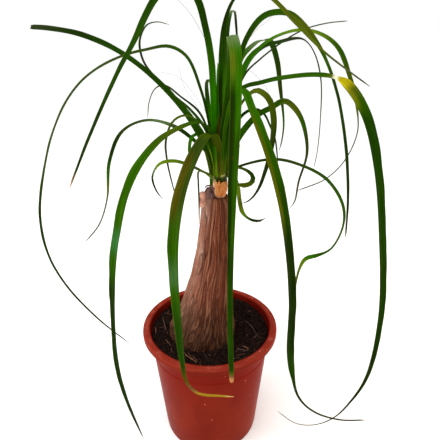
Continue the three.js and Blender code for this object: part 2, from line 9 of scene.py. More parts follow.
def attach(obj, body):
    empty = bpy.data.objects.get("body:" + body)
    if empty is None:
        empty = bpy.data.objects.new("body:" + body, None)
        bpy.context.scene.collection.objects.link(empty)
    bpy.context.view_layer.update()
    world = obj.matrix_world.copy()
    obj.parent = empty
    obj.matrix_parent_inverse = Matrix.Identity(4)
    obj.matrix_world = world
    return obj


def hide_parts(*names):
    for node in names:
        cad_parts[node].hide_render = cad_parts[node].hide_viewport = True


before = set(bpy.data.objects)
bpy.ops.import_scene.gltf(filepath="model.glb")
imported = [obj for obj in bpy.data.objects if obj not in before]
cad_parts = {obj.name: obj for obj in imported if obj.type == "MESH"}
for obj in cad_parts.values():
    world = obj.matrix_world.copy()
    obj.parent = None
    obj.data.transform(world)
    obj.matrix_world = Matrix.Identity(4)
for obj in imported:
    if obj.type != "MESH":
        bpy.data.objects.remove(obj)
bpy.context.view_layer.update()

MM = 0.001

# Camera
CAMERA_AT = Vector((0, -351.2, 390.6))
CAMERA_DOWN = math.radians(24.37)
CAMERA_RIGHT = math.radians(1.64)
CAMERA_ROLL = math.radians(-0.15)
CAMERA_LENS = 36.0  # as long as the sensor is wide
FLOOR_REACH = 7000

# Pot
POT_HEIGHT = 121
POT_WALL = 1.6
POT_FLOOR = 2.2
POT_FOOT_RADIUS = 46.8
POT_MOUTH_RADIUS = 58.3
RIM_RADIUS = 65
RIM_MOUTH = 58
RIM_DROP = 5.5
RIM_SHEET = 1.6
RIM_STEP = 110
DRAIN_HOLES = 6
DRAIN_RADIUS = 4
DRAIN_CIRCLE = 33
POT_LEDGE = 96  # the small step under the rim
POT_SIDES = 192

# Soil
SOIL_TOP = 113  # round the trunk
SOIL_EDGE = 115.6  # at the pot's wall
SOIL_GAP = 0.5  # between the soil and the wall
SOIL_HOLE = 31  # radius of the hole that the trunk stands in
SOIL_HOLE_FOOT = [(28, 100), (22, 90), (7, 76)]  # radius and height down the hole
SOIL_SIDES = 220
SOIL_RINGS = 52
CRUMBS = 620
CRUMB_FLATNESS = 0.7
CRUMB_SEED = 11
STRANDS = 34
STRAW_SEED = 23
STRAW_TONES = [(150, 92, 62), (116, 76, 54), (92, 62, 46), (104, 76, 62), (70, 46, 36)]

# Trunk
BULB_X = -7.6  # the bulb's middle, left of the pot's
TRUNK = [  # height, middle to the right, radius
    (76, BULB_X, 7), (83, BULB_X, 15), (92, BULB_X, 22), (101, BULB_X, 28), (109, BULB_X, 31.4),
    (116, -7.5, 32.2), (122, -7, 31.2), (129, -5.8, 28.8), (138, -4, 26), (149, -2, 23.6),
    (161, -0.4, 21.2), (174, 1.4, 18.9), (188, 3, 17.1), (202, 4.2, 15.5), (216, 5.3, 14.3),
    (230, 6.2, 13.2), (243, 6.8, 12.6), (250, 7, 12), (254, 7.1, 10),
]
TRUNK_SIDES = 380
TRUNK_RINGS = 258
BURIED = (100, 112)  # the bark is plain below the soil and fades in between these heights
# From this height up the bark's left side is painted lighter, as lit, and its right side darker, as shade
PAINTED_SIDES_FROM = 118
BULB_FADE = (122, 176)  # the crazed, sooty bulb gives way to the furrowed neck
# Painted highlights on the bark's left side: over its top, and over a band of pale flakes this far either
# side of its height
HIGHLIGHT_TOP = (228, 244)
FLAKE_BAND = 206
FLAKE_REACH = 13
STUB_AT = Vector((10, 0, 0))
STUB_TOP = 268

# Crown and leaves
CROWN_AT = Vector((10, 0, 270))
CURVE_STEPS = 24  # points from each knot of a spine to the next
STATION = 3.0  # between sections of a blade
ACROSS = 8  # strips across a blade
BLADE_THICKNESS = 0.5
LEAF_FOLD = 0.16  # rise of a leaf's edges over its midrib, as a share of its width
FOOT_SPREAD = 0.55  # how much wider the foot is than the blade
FOOT_BEND = 6.5  # radius that the foot wraps round
BLADE_BEND = 60  # radius that the blade wraps round
TIP_WIDTH = 0.5
TIP_LENGTH = 7
UNTWISTED = [(0, 0), (1, 0)]
RIPPLE = 0.05  # of the edges, as a share of the width
RIPPLE_LENGTH = 16
TONE_DRIFT = 0.16
TONE_DRIFT_LENGTH = 23
HAIR_WIDTH = 0.42

# Tones of the leaves, as they look in soft light, so some are painted light: the greyish tone on the
# crests, sheen and gleam are painted sheens, and glare and the yellow glint are painted highlights at a fold
TONES = {
    # painted sheen where a leaf crests
    "crest_sheen": (84, 106, 62),
    "sheen": (46, 98, 46),
    "gleam": (56, 92, 42),
    "pine": (42, 58, 10),
    "khaki": (76, 82, 2),
    "bright": (48, 128, 1),
    "fresh": (46, 98, 2),
    "leaf": (38, 76, 1),
    "deep": (26, 56, 2),
    "dark": (22, 40, 3),
    "olive": (58, 74, 4),
    "moss": (74, 86, 12),
    "lime": (96, 124, 18),
    # painted highlight: the yellow glint beside the glare where a leaf folds
    "yellow_glint": (172, 158, 14),
    "glare": (254, 250, 226),
    "sheath": (92, 118, 16),
    "cream": (206, 200, 128),
    "bronze": (70, 66, 8),
    "ochre": (150, 118, 30),
    "straw": (206, 170, 108),
    "tan": (176, 116, 70),
    "brown": (104, 74, 44),
    "ash": (76, 74, 56),
    "slate": (36, 46, 22),
    "hair": (124, 112, 104),
}

# The leaves. Heading is the way a leaf grows, in degrees from +X towards +Y, and foot the length
# that clasps the crown. A spine point is its reach out from the crown, its height above the crown's
# foot and, where the leaf strays from its own upright plane, the degrees that it strays. Widths,
# twist (the blade's turn about its spine, in degrees) and tones are stops at shares of its length.
# Before the first stop and after the last one its value holds. A stripe is another tone along one
# side: 1 for the right of one who looks out along the leaf and -1 for the left, the shares where it
# starts and ends, and its tone. A blunt leaf has a broad torn end, and fold stands in for LEAF_FOLD.
LEAVES = {
    # front
    "leaf_front": {
        "heading": 276, "foot": 64, "blunt": True, "fold": -0.1,
        "spine": [(6, 3), (6.5, 20, 15), (9, 52, 28), (17, 86, 22), (29, 106, 10), (41, 112, 4),
                  (51, 103, 4), (57, 80, 3.2), (60, 35, 1.4), (64, -20, -0.4), (69, -95, -1.2),
                  (74, -154, -0.3)],
        "widths": [(0, 6), (0.15, 7.4), (0.35, 7.8), (0.5, 7.6), (0.62, 6), (0.72, 4.7), (0.93, 4.4),
                   (1, 3.6)],
        "twist": [(0, 0), (0.3, 0), (0.4, 8), (1, 6)],
        "tones": [(0, "moss"), (0.06, "deep"), (0.22, "leaf"), (0.32, "crest_sheen"), (0.346, "fresh"),
                  (0.43, "fresh"), (0.5, "leaf"), (0.66, "leaf"), (0.76, "deep"), (0.972, "deep"),
                  (0.98, "moss"), (0.985, "brown"), (0.989, "tan")],
        # The dark stripe down one side of this leaf is painted shade.
        "stripes": [(1, 0.315, 0.42, "moss"), (1, 0.37, 0.78, "dark")],
    },
    "leaf_front_broad": {
        "heading": 247, "foot": 46,
        "spine": [(6.2, 0), (6, 14), (7, 28), (12, 38), (22, 41), (36, 39), (58, 27), (74, 12), (86, -13),
                  (89, -46), (86, -93), (83, -128), (82, -150, 2), (79, -162, 8), (75, -167, 22),
                  (75, -169, 30)],
        "widths": [(0, 6), (0.14, 8), (0.25, 9.6), (0.4, 9.2), (0.52, 7.9), (0.7, 6.4), (0.8, 4.6),
                   (0.86, 2.8), (0.94, 2.5), (1, 1.2)],
        "twist": [(0, 0), (0.8, 0), (0.9, -25), (1, -40)],
        "tones": [(0, "lime"), (0.03, "bronze"), (0.12, "olive"), (0.16, "olive"), (0.2, "pine"),
                  (0.34, "pine"), (0.47, "leaf"), (0.53, "gleam"), (0.58, "leaf"), (0.68, "deep"),
                  (0.8, "deep"), (0.85, "bronze"), (0.88, "brown"), (0.91, "ochre"), (0.97, "ochre"),
                  (1, "straw")],
        "stripes": [(1, 0.22, 0.42, "bronze")],
    },
    "leaf_front_left": {
        "heading": 217, "foot": 46,
        "spine": [(6.4, 2), (6.6, 18), (8, 33), (13, 45), (22, 49), (38, 47), (55, 41), (72, 28), (86, 8),
                  (95, -17), (102, -45), (108, -104), (109, -142), (105, -178), (93, -238)],
        "widths": [(0, 5), (0.2, 7.2), (0.33, 8.2), (0.5, 7.6), (0.62, 6.6), (0.8, 5), (0.92, 3.4),
                   (1, 1.2)],
        "twist": [(0, 0), (0.2, -5), (0.32, -16), (0.5, -16), (0.62, -6), (0.8, -26), (1, -26)],
        "tones": [(0, "lime"), (0.06, "fresh"), (0.13, "leaf"), (0.2, "olive"), (0.28, "leaf"),
                  (0.41, "leaf"), (0.45, "sheen"), (0.49, "leaf"), (0.56, "dark"), (0.72, "dark"),
                  (0.86, "dark"), (1, "slate")],
    },
    "leaf_front_right": {
        "heading": 315, "foot": 68,
        "spine": [(6.2, 3), (6.6, 22), (9, 46), (15, 66), (23.5, 73), (32, 61), (42, 44), (52, 25),
                  (62.5, -1), (72.5, -41), (79, -85), (81, -137), (86, -161), (95, -175, -2), (106, -196, 5),
                  (125, -211, 14), (146, -218, 21)],
        "widths": [(0, 6), (0.2, 8), (0.33, 9.8), (0.5, 8.4), (0.66, 8.8), (0.73, 7.6), (0.78, 3),
                   (0.83, 1.8), (1, 1.2)],
        "twist": [(0, 0), (0.3, 10), (0.7, 12), (1, 0)],
        "tones": [(0, "moss"), (0.05, "leaf"), (0.2, "fresh"), (0.3, "leaf"), (0.4, "deep"), (0.48, "dark"),
                  (0.68, "dark"), (0.74, "deep"), (0.8, "dark"), (0.9, "slate")],
        "stripes": [(1, 0.2, 0.46, "khaki")],
    },
    # right
    "leaf_right_bow": {
        "heading": 334, "foot": 50,
        "spine": [(5.6, 6), (7, 24), (11, 45), (18, 61), (25, 69.5), (31, 72.5), (40, 67), (44, 54),
                  (44, 36), (40, 14), (33, -7), (26, -16, -2), (20, -19, -5)],
        "widths": [(0, 4), (0.3, 4.8), (0.5, 5.6), (0.7, 4.4), (0.85, 3), (1, 1.2)],
        "twist": [(0, 20), (0.4, 35), (1, 50)],
        "tones": [(0, "bright"), (0.2, "fresh"), (0.3, "crest_sheen"), (0.4, "moss"), (0.5, "olive"),
                  (0.64, "pine"), (0.85, "dark"), (1, "ash")],
    },
    "leaf_curl": {
        "heading": 331, "foot": 8,
        "spine": [(5, 5), (10, 10), (17.5, 11.4), (25.4, 9.8), (29.8, 6), (28.8, 1.4), (22.6, -1.8),
                  (16, -2.2, -6)],
        "widths": [(0, 3), (0.3, 2.8), (0.55, 3.4), (0.7, 5), (0.9, 5.8), (1, 4.4)],
        "twist": [(0, 0), (1, 70)],
        "tones": [(0, "deep"), (0.3, "olive"), (0.6, "deep"), (0.8, "moss")],
    },
    "leaf_low_hook": {
        "heading": 341, "foot": 7,
        "spine": [(5, 3), (11, 4), (15.5, -7), (17, -18), (20, -29), (27, -34.5), (35, -35), (41, -31)],
        "widths": [(0, 3.4), (0.3, 4.4), (0.58, 4.4), (0.72, 2.4), (0.85, 2.8), (1, 1.2)],
        "twist": [(0, 20), (0.5, 38), (1, 38)],
        "tones": [(0.3, "lime"), (0.5, "moss"), (0.65, "lime"), (0.8, "dark"), (1, "ash")],
    },
    "leaf_far_right": {
        "heading": 343, "foot": 66,
        "spine": [(5.4, 8), (6.4, 28), (9, 54), (14, 70), (22, 75.2), (31, 77.4), (46, 81.3), (72, 84.4),
                  (88, 82.8), (97, 76.5), (110.5, 57), (122, 24), (134, -35), (144, -110), (142, -180),
                  (132, -214), (117, -243), (99, -258), (81, -261), (62, -250)],
        "widths": [(0, 4.6), (0.12, 5), (0.235, 4.8), (0.252, 2.8), (0.27, 7), (0.3, 7.6), (0.5, 7),
                   (0.7, 5), (0.8, 3.2), (0.88, 1.8), (1, 1.2)],
        "twist": [(0, 20), (0.12, 34), (0.235, 36), (0.262, 70), (0.45, 55), (0.8, 70), (1, 70)],
        # The glare and the yellow glint where this leaf folds, and the yellow stripe after them, are painted
        # highlights.
        "tones": [(0, "fresh"), (0.1, "leaf"), (0.14, "deep"), (0.2, "leaf"), (0.236, "leaf"),
                  (0.246, "moss"), (0.252, "glare"), (0.256, "yellow_glint"), (0.266, "yellow_glint"), (0.28, "moss"),
                  (0.3, "leaf"), (0.33, "deep"), (0.5, "deep"), (0.8, "dark"), (1, "ash")],
        "stripes": [(1, 0.262, 0.315, "yellow_glint")],
    },
    "leaf_right_tall": {
        "heading": 351, "foot": 42,
        "spine": [(4.2, 14), (3.2, 34), (2.6, 64), (3, 101), (5, 122), (12, 136), (24, 143), (37, 135),
                  (54, 120), (75, 101), (98, 85), (112, 76)],
        "widths": [(0, 4.6), (0.3, 7), (0.38, 5.8), (0.44, 3.4), (0.5, 2.4), (0.6, 3.2), (0.7, 3.6),
                   (0.82, 1.8), (1, 1.2)],
        "twist": [(0, 50), (0.3, 60), (1, 60)],
        "tones": [(0, "fresh"), (0.1, "bright"), (0.22, "fresh"), (0.34, "deep"), (0.42, "dark"),
                  (0.5, "dark"), (0.58, "moss"), (0.8, "moss"), (1, "ash")],
        "stripes": [(-1, 0.02, 0.32, "dark")],
    },
    "leaf_low_right": {
        "heading": 354, "foot": 10,
        "spine": [(5, 1), (12, 8), (27, 14), (46, 17), (65, 13), (88, 1), (103, -20), (106, -40), (98, -63),
                  (87, -70), (77, -74), (72, -85), (69, -115)],
        "widths": [(0, 3), (0.3, 3.4), (0.55, 3.9), (0.7, 3.4), (0.8, 4), (0.9, 2.4), (1, 1.2)],
        "twist": [(0, 26), (0.3, 30), (0.5, 45), (0.66, 46), (0.72, 60), (0.8, 100), (0.86, 70), (1, 53)],
        "tones": [(0, "lime"), (0.06, "pine"), (0.25, "pine"), (0.5, "leaf"), (0.76, "leaf"), (0.8, "fresh"),
                  (0.84, "lime"), (0.9, "moss"), (1, "brown")],
    },
    "leaf_right_crook": {
        "heading": 358, "foot": 42,
        "spine": [(6.2, 1), (8, 16), (12, 28), (20, 41), (30, 52), (41, 58), (50, 63), (57, 59), (65, 48),
                  (71, 22), (66, -3), (64, -21), (60, -28)],
        "widths": [(0, 4), (0.22, 5.4), (0.5, 5.2), (0.7, 3.8), (0.9, 2.4), (1, 1.2)],
        "twist": [(0, 30), (0.22, 60), (0.35, 42), (0.52, 54), (0.7, 48), (1, 55)],
        "tones": [(0, "bright"), (0.2, "fresh"), (0.3, "leaf"), (0.4, "leaf"), (0.5, "moss"), (0.58, "leaf"),
                  (0.66, "pine"), (0.8, "slate"), (0.9, "ash")],
    },
    "leaf_right_thread": {
        "heading": 8, "foot": 40,
        "spine": [(5, 8), (7, 24), (11, 40), (20, 53), (29, 56), (36, 52), (41, 43), (46, 32), (50, 9)],
        "widths": [(0, 2.4), (0.5, 2.8), (0.85, 2.2), (1, 1.2)],
        "twist": [(0, 40), (1, 50)],
        "tones": [(0, "bright"), (0.3, "fresh"), (0.5, "deep"), (1, "slate")],
    },
    "leaf_right_arch": {
        "heading": 8, "foot": 60,
        "spine": [(4.6, 12), (5.4, 32), (7.8, 56), (13, 80), (21, 108), (34, 123.5), (52, 125), (66, 115),
                  (81, 97), (96, 67), (109, 23), (117, -24), (120, -66)],
        "widths": [(0, 4.4), (0.2, 5.4), (0.42, 5.4), (0.62, 4.4), (0.85, 3.6), (1, 2.2)],
        "twist": [(0, 20), (0.25, 30), (0.43, 60), (0.54, 48), (0.8, 66), (1, 66)],
        "tones": [(0, "fresh"), (0.08, "bright"), (0.16, "leaf"), (0.28, "deep"), (0.38, "leaf"),
                  (0.44, "moss"), (0.52, "leaf"), (0.6, "deep"), (0.85, "dark"), (0.97, "dark"),
                  (1, "brown")],
    },
    "leaf_right_hoop": {
        "heading": 20, "foot": 66,
        "spine": [(5, 9), (6.2, 30), (9.4, 55), (18, 81), (28, 96), (43, 107), (65, 113), (85, 111),
                  (105, 100), (120, 77), (131, 52), (136, 27), (126, 2), (107, -14), (76, -22)],
        "widths": [(0, 3.2), (0.22, 4.2), (0.55, 4.6), (0.64, 3.6), (0.74, 1.4), (1, 1.2)],
        "twist": [(0, 0), (0.36, 18), (0.46, 50), (0.56, 90), (1, 90)],
        "tones": [(0.22, "bright"), (0.3, "fresh"), (0.42, "lime"), (0.52, "leaf"), (0.62, "olive"),
                  (0.68, "moss"), (0.74, "ash")],
    },
    "leaf_inner_arch": {
        "heading": 33, "foot": 60,
        "spine": [(5, 8), (6.4, 28), (9.4, 50), (17, 71), (28, 92), (41, 101), (57, 104), (85, 106),
                  (99, 96), (111, 72), (115, 38), (115, 6), (112, -13)],
        "widths": [(0, 4), (0.3, 5), (0.47, 4.2), (0.62, 2.4), (0.72, 1.7), (1, 1.2)],
        "twist": [(0, 10), (0.35, 30), (0.52, 28), (0.7, 85), (1, 85)],
        "tones": [(0.22, "bright"), (0.3, "fresh"), (0.4, "deep"), (0.48, "slate"), (0.58, "slate"),
                  (1, "ash")],
    },
    "leaf_right_wisp": {
        "heading": 43, "foot": 40,
        "spine": [(5, 8), (8, 30), (16, 60), (29, 81), (46, 91), (76, 104), (105, 113), (140, 118),
                  (177, 120)],
        "widths": [(0, 2.4), (0.4, 1.8), (1, 1.2)],
        "twist": [(0, 0), (0.5, 20), (1, 50)],
        "tones": [(0, "fresh"), (0.3, "leaf"), (0.4, "slate"), (0.7, "slate"), (1, "ash")],
    },
    # back
    "leaf_cane": {
        "heading": 55, "foot": 58,
        "spine": [(4.8, 10), (7, 36), (12, 62), (22, 80), (31, 92), (45, 99), (64, 104.5), (82, 103),
                  (97, 86), (107, 60), (119, 24), (117, 8), (112, -2)],
        "widths": [(0, 4.2), (0.16, 5.6), (0.52, 5.8), (0.62, 5.2), (0.72, 4.2), (0.86, 2.3), (1, 1.2)],
        "twist": [(0, 20), (0.3, 12), (0.44, 0), (0.57, -18), (1, -10)],
        "tones": [(0, "bright"), (0.27, "fresh"), (0.36, "leaf"), (0.47, "crest_sheen"), (0.57, "deep"),
                  (0.75, "pine"), (0.85, "leaf"), (1, "ash")],
    },
    "leaf_upright": {
        "heading": 42, "foot": 40,
        "spine": [(3.6, 18), (4.6, 42), (5.8, 66), (7, 88), (8.3, 107), (10.2, 119.7), (12.5, 126.2),
                  (14.2, 128), (15.6, 126), (16.9, 118.3), (18.1, 109.9), (18.8, 103)],
        "widths": [(0, 2.4), (0.4, 3.4), (0.62, 4.4), (0.75, 3.8), (0.82, 2.6), (0.9, 2.4), (1, 1.6)],
        "tones": [(0, "fresh"), (0.4, "leaf"), (0.6, "deep"), (0.76, "deep"), (0.82, "crest_sheen"), (0.88, "dark"),
                  (1, "slate")],
    },
    "leaf_spear": {
        "heading": 98, "foot": 40,
        "spine": [(2.6, 14), (2.4, 36), (4, 64), (8, 91)],
        "widths": [(0, 3.6), (0.5, 4.2), (0.85, 3), (1, 1.2)],
        "tones": [(0, "fresh"), (0.3, "bright")],
    },
    "leaf_back_high": {
        "heading": 76, "foot": 56,
        "spine": [(5, 8), (7, 30), (11, 54), (22, 74), (34, 80), (45, 68), (51, 38), (53, -10), (51, -60)],
        "widths": [(0, 4.4), (0.25, 5.8), (0.5, 5.4), (0.8, 3.6), (1, 1.2)],
        "twist": [(0, 0), (1, 10)],
        "tones": [(0, "bright"), (0.3, "fresh"), (0.5, "leaf"), (0.9, "deep"), (1, "brown")],
    },
    "leaf_back_long": {
        "heading": 87, "foot": 46,
        "spine": [(5.8, 4), (7.6, 24), (13, 46), (28, 64), (48, 66), (64, 48), (74, 8), (78, -50),
                  (76, -120)],
        "widths": [(0, 5), (0.25, 6.8), (0.5, 6.4), (0.8, 4.2), (1, 1.4)],
        "twist": [(0, 0), (1, -20)],
        "tones": [(0, "bright"), (0.3, "fresh"), (0.5, "leaf"), (0.9, "deep"), (1, "brown")],
    },
    "leaf_back_middle": {
        "heading": 93.5, "foot": 42,
        "spine": [(6.2, 1), (8.2, 18), (14, 34), (30, 46), (48, 40), (58, 14), (61, -34), (58, -80)],
        "widths": [(0, 4.6), (0.25, 6), (0.55, 5.4), (0.85, 3), (1, 1.2)],
        "twist": [(0, 0), (1, 20)],
        "tones": [(0, "bright"), (0.3, "fresh"), (0.6, "leaf"), (0.9, "olive"), (1, "brown")],
    },
    "leaf_back_short": {
        "heading": 100, "foot": 36,
        "spine": [(6.4, 0), (8.4, 10), (14, 20), (24, 24), (33, 12), (37, -16), (36, -48)],
        "widths": [(0, 4.2), (0.3, 5), (0.6, 4.4), (0.9, 2.4), (1, 1.2)],
        "tones": [(0, "bright"), (0.3, "fresh"), (0.7, "leaf"), (0.92, "moss"), (1, "brown")],
    },
    "leaf_folded": {
        "heading": 126, "foot": 42,
        "spine": [(4.6, 8), (6.6, 26), (11, 42), (16, 62), (17, 76), (13.5, 79), (10, 67)],
        "widths": [(0, 3.2), (0.62, 3.8), (0.8, 2.8), (1, 1.2)],
        "twist": [(0, -20), (1, -20)],
        "tones": [(0, "fresh"), (0.4, "bright"), (0.7, "leaf"), (0.85, "crest_sheen"), (1, "leaf")],
    },
    "leaf_left_hook": {
        "heading": 138, "foot": 42,
        "spine": [(5.4, 5), (8, 22), (15, 38), (32, 52.5), (52, 62.5), (74, 76), (88, 89), (91, 104),
                  (81, 117), (67, 120), (53, 118)],
        "widths": [(0, 3), (0.25, 3.4), (0.65, 2.6), (0.85, 1.6), (1, 1.2)],
        "twist": [(0, -8), (0.6, 0), (1, -40)],
        "tones": [(0, "fresh"), (0.2, "leaf"), (0.5, "deep"), (0.7, "slate"), (0.85, "deep"), (1, "ash")],
    },
    "leaf_left_wisp": {
        "heading": 150, "foot": 40,
        "spine": [(5, 7), (6.8, 22), (11, 38), (19, 53), (36, 64), (51, 72), (61, 69), (68, 58), (71, 44)],
        "widths": [(0, 2.4), (0.4, 2.4), (0.6, 1.8), (1, 1.2)],
        "twist": [(0, -20), (0.5, -20), (0.75, -50), (1, -80)],
        "tones": [(0, "fresh"), (0.3, "leaf"), (0.5, "slate"), (0.7, "slate"), (1, "ash")],
    },
    # left
    "leaf_far_left": {
        "heading": 160, "foot": 42, "blunt": True,
        "spine": [(6.3, 0), (7.6, 13), (12, 28), (24, 46), (43, 67), (66, 86), (92, 101), (122, 111),
                  (150, 115), (167, 116)],
        "widths": [(0, 5), (0.17, 7), (0.42, 6.6), (0.62, 5.8), (0.82, 5), (1, 4.4)],
        "twist": [(0, -30), (0.17, -50), (0.28, -22), (0.5, -18), (0.7, -38), (1, -60)],
        "tones": [(0.06, "lime"), (0.1, "fresh"), (0.2, "leaf"), (0.5, "deep"), (0.65, "deep"),
                  (0.8, "dark"), (1, "slate")],
    },
    "leaf_left_hoop": {
        "heading": 186, "foot": 44,
        "spine": [(5.2, 8), (6.6, 28), (9.4, 48), (15, 72), (25, 96), (37, 103), (54, 101), (74, 96),
                  (96, 85), (112, 70), (127, 46), (140, 12), (149, -26), (148, -62), (137, -95), (114, -133),
                  (89, -164)],
        "widths": [(0, 3.2), (0.22, 4.2), (0.52, 3.9), (0.72, 3.3), (0.9, 2.4), (1, 1.2)],
        "twist": [(0, -30), (0.18, -35), (0.33, -18), (0.52, -26), (0.62, -46), (0.8, -60), (1, -72)],
        "tones": [(0, "lime"), (0.1, "leaf"), (0.2, "leaf"), (0.28, "pine"), (0.5, "pine"), (0.7, "dark")],
    },
    "leaf_left_crook": {
        "heading": 190, "foot": 42,
        "spine": [(6.4, -0.5), (7.6, 12), (11.5, 23), (19, 31), (36, 44.5), (57, 50.5), (76, 43), (88, 20),
                  (93, -10), (102, -33), (115, -48)],
        "widths": [(0, 3.4), (0.25, 4.4), (0.55, 4.3), (0.72, 2.9), (0.8, 1.6), (1, 1.2)],
        "twist": [(0, -30), (0.25, -37), (0.34, -21), (0.44, -10), (0.54, -35), (0.73, -46), (1, -50)],
        "tones": [(0.1, "lime"), (0.16, "fresh"), (0.24, "deep"), (0.34, "crest_sheen"), (0.42, "pine"),
                  (0.58, "dark"), (0.68, "leaf"), (0.74, "moss"), (0.8, "ash")],
    },
    "leaf_left_tall": {
        "heading": 197, "foot": 42,
        "spine": [(5, 12), (4.8, 34), (5.6, 62), (7, 92), (11.5, 117), (17.5, 135), (30, 148), (46, 134),
                  (62, 108), (78, 83), (100, 44), (120, 5)],
        "widths": [(0, 5), (0.22, 6.4), (0.56, 6.4), (0.72, 5.2), (0.86, 4), (0.97, 2.4), (1, 1.4)],
        "twist": [(0, -55), (0.2, -70), (0.38, -66), (0.56, -37), (0.72, -23), (1, -30)],
        "tones": [(0, "fresh"), (0.05, "bright"), (0.18, "bright"), (0.26, "fresh"), (0.34, "deep"),
                  (0.5, "deep"), (0.7, "deep"), (0.85, "dark"), (0.95, "dark"), (0.975, "brown"),
                  (1, "tan")],
    },
    "leaf_left_loop": {
        "heading": 198, "foot": 50,
        "spine": [(5.4, 6), (6.4, 20), (9, 34), (16, 47), (28, 54), (38, 50), (44, 36), (44, 20), (39, -10)],
        "widths": [(0, 2.4), (0.6, 2.4), (1, 1.2)],
        "twist": [(0, -30), (0.5, -28), (1, -38)],
        "tones": [(0, "bright"), (0.25, "leaf"), (0.5, "olive"), (0.75, "slate")],
    },
    "leaf_low_left": {
        "heading": 204, "foot": 9,
        "spine": [(5, 2), (10, 4.5), (16, 8), (26, 14), (40, 20), (52, 19), (58, 10), (56, -1), (51, -10)],
        "widths": [(0, 3), (0.4, 3.5), (0.55, 3.5), (0.68, 2.4), (0.85, 1.8), (1, 1.2)],
        "twist": [(0, -28), (0.4, -40), (0.5, -38), (0.6, -24), (0.7, -10), (0.8, -40), (1, -40)],
        "tones": [(0, "cream"), (0.06, "lime"), (0.2, "moss"), (0.3, "leaf"), (0.45, "lime"), (0.62, "lime"),
                  (0.75, "dark")],
    },
    "leaf_short_left": {
        "heading": 211, "foot": 38,
        "spine": [(5.8, 2), (7, 14), (10.5, 27), (17, 39), (25, 38.5), (28, 29), (28, 19)],
        "widths": [(0, 3), (0.5, 3.6), (0.8, 3.2), (1, 1.2)],
        "twist": [(0, -20), (1, -22)],
        "tones": [(0.3, "lime"), (0.45, "leaf"), (0.56, "deep"), (0.68, "fresh"), (1, "leaf")],
    },
    "leaf_low_thread": {
        "heading": 224, "foot": 9,
        "spine": [(5, 0), (9.2, 1.8), (16, 7.4), (21.4, 12), (24.2, 11), (24.3, 4), (24.1, -11),
                  (24.6, -34)],
        "widths": [(0, 2.2), (0.5, 2), (1, 1.2)],
        "tones": [(0, "lime"), (0.3, "moss"), (0.42, "dark"), (0.7, "slate"), (0.85, "brown"), (1, "tan")],
    },
}


# Small helpers
def srgb(red, green, blue):
    """A display colour, 0 to 255, as the linear colour that materials use."""
    def linear(value):
        share = value / 255
        return share / 12.92 if share <= 0.04045 else ((share + 0.055) / 1.055) ** 2.4
    return (linear(red), linear(green), linear(blue), 1.0)


def lerp(a, b, share):
    return a + (b - a) * share


def smooth(value, low, high):
    """0 up to low, 1 from high on, eased between them."""
    share = min(1.0, max(0.0, (value - low) / (high - low)))
    return share * share * (3 - 2 * share)


def stops_at(stops, share):
    """The value at a share of the way along (share, value) stops."""
    if share <= stops[0][0]:
        return stops[0][1]
    for (low, a), (high, b) in zip(stops, stops[1:]):
        if share <= high:
            return lerp(a, b, smooth(share, low, high))
    return stops[-1][1]


def along(stops, share):
    """The value on a smooth curve through (share, value) stops, never beyond two neighbours."""
    slopes = [(b - a) / (high - low) for (low, a), (high, b) in zip(stops, stops[1:])]
    slopes = [slopes[0]] + slopes + [slopes[-1]]
    for index in range(len(stops) - 1):
        (low, a), (high, b) = stops[index], stops[index + 1]
        if share > high and index < len(stops) - 2:
            continue
        span = high - low
        leans = []
        for before, after in (slopes[index:index + 2], slopes[index + 1:index + 3]):
            leans.append(2 * before * after / (before + after) if before * after > 0 else 0)
        s = min(1.0, max(0.0, (share - low) / span))
        eased = lerp(a, b, s * s * (3 - 2 * s))
        return eased + span * (leans[0] * s * (1 - s) ** 2 - leans[1] * s * s * (1 - s))
    return stops[-1][1]


class Shape:
    """Points, faces and named marks per point, gathered into one mesh."""

    def __init__(self):
        self.points = []
        self.faces = []
        self.marks = {}

    def add(self, points, faces, **marks):
        base = len(self.points)
        self.points.extend(points)
        self.faces.extend([tuple(base + index for index in face) for face in faces])
        for label, values in marks.items():
            self.marks.setdefault(label, []).extend(values)


def mesh_of(name, points, faces):
    """A mesh from points in millimetres."""
    mesh = bpy.data.meshes.new(name)
    mesh.from_pydata([point * MM for point in points], [], faces)
    return mesh


def in_scene(name, data):
    """A new object in the scene."""
    made = bpy.data.objects.new(name, data)
    bpy.context.scene.collection.objects.link(made)
    return made


def piece(name, shape, material, replaces=(), sharp=None):
    """A mesh piece of the plant or the pot, with its marks. Edges sharper than sharp degrees stay crisp."""
    mesh = mesh_of(name, shape.points, shape.faces)
    for label, values in shape.marks.items():
        first = values[0]
        if isinstance(first, float):
            mark = mesh.attributes.new(label, "FLOAT", "POINT")
            mark.data.foreach_set("value", values)
        elif len(first) == 3:
            mark = mesh.attributes.new(label, "FLOAT_VECTOR", "POINT")
            mark.data.foreach_set("vector", [part for value in values for part in value])
        else:
            mark = mesh.attributes.new(label, "FLOAT_COLOR", "POINT")
            mark.data.foreach_set("color", [part for value in values for part in value])
    work = bmesh.new()
    work.from_mesh(mesh)
    bmesh.ops.recalc_face_normals(work, faces=work.faces)
    work.to_mesh(mesh)
    work.free()
    mesh.shade_smooth()
    if sharp:
        mesh.set_sharp_from_angle(angle=math.radians(sharp))
    mesh.materials.append(material)
    made = in_scene(name, mesh)
    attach(made, "root")
    if replaces:
        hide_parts(*replaces)
    return made


def tube_faces(rows, section):
    """The faces between neighbouring rows of a tube, with so many points to its section."""
    faces = []
    for row in range(rows - 1):
        for step in range(section):
            a = row * section + step
            b = row * section + (step + 1) % section
            faces.append((a, b, b + section, a + section))
    return faces


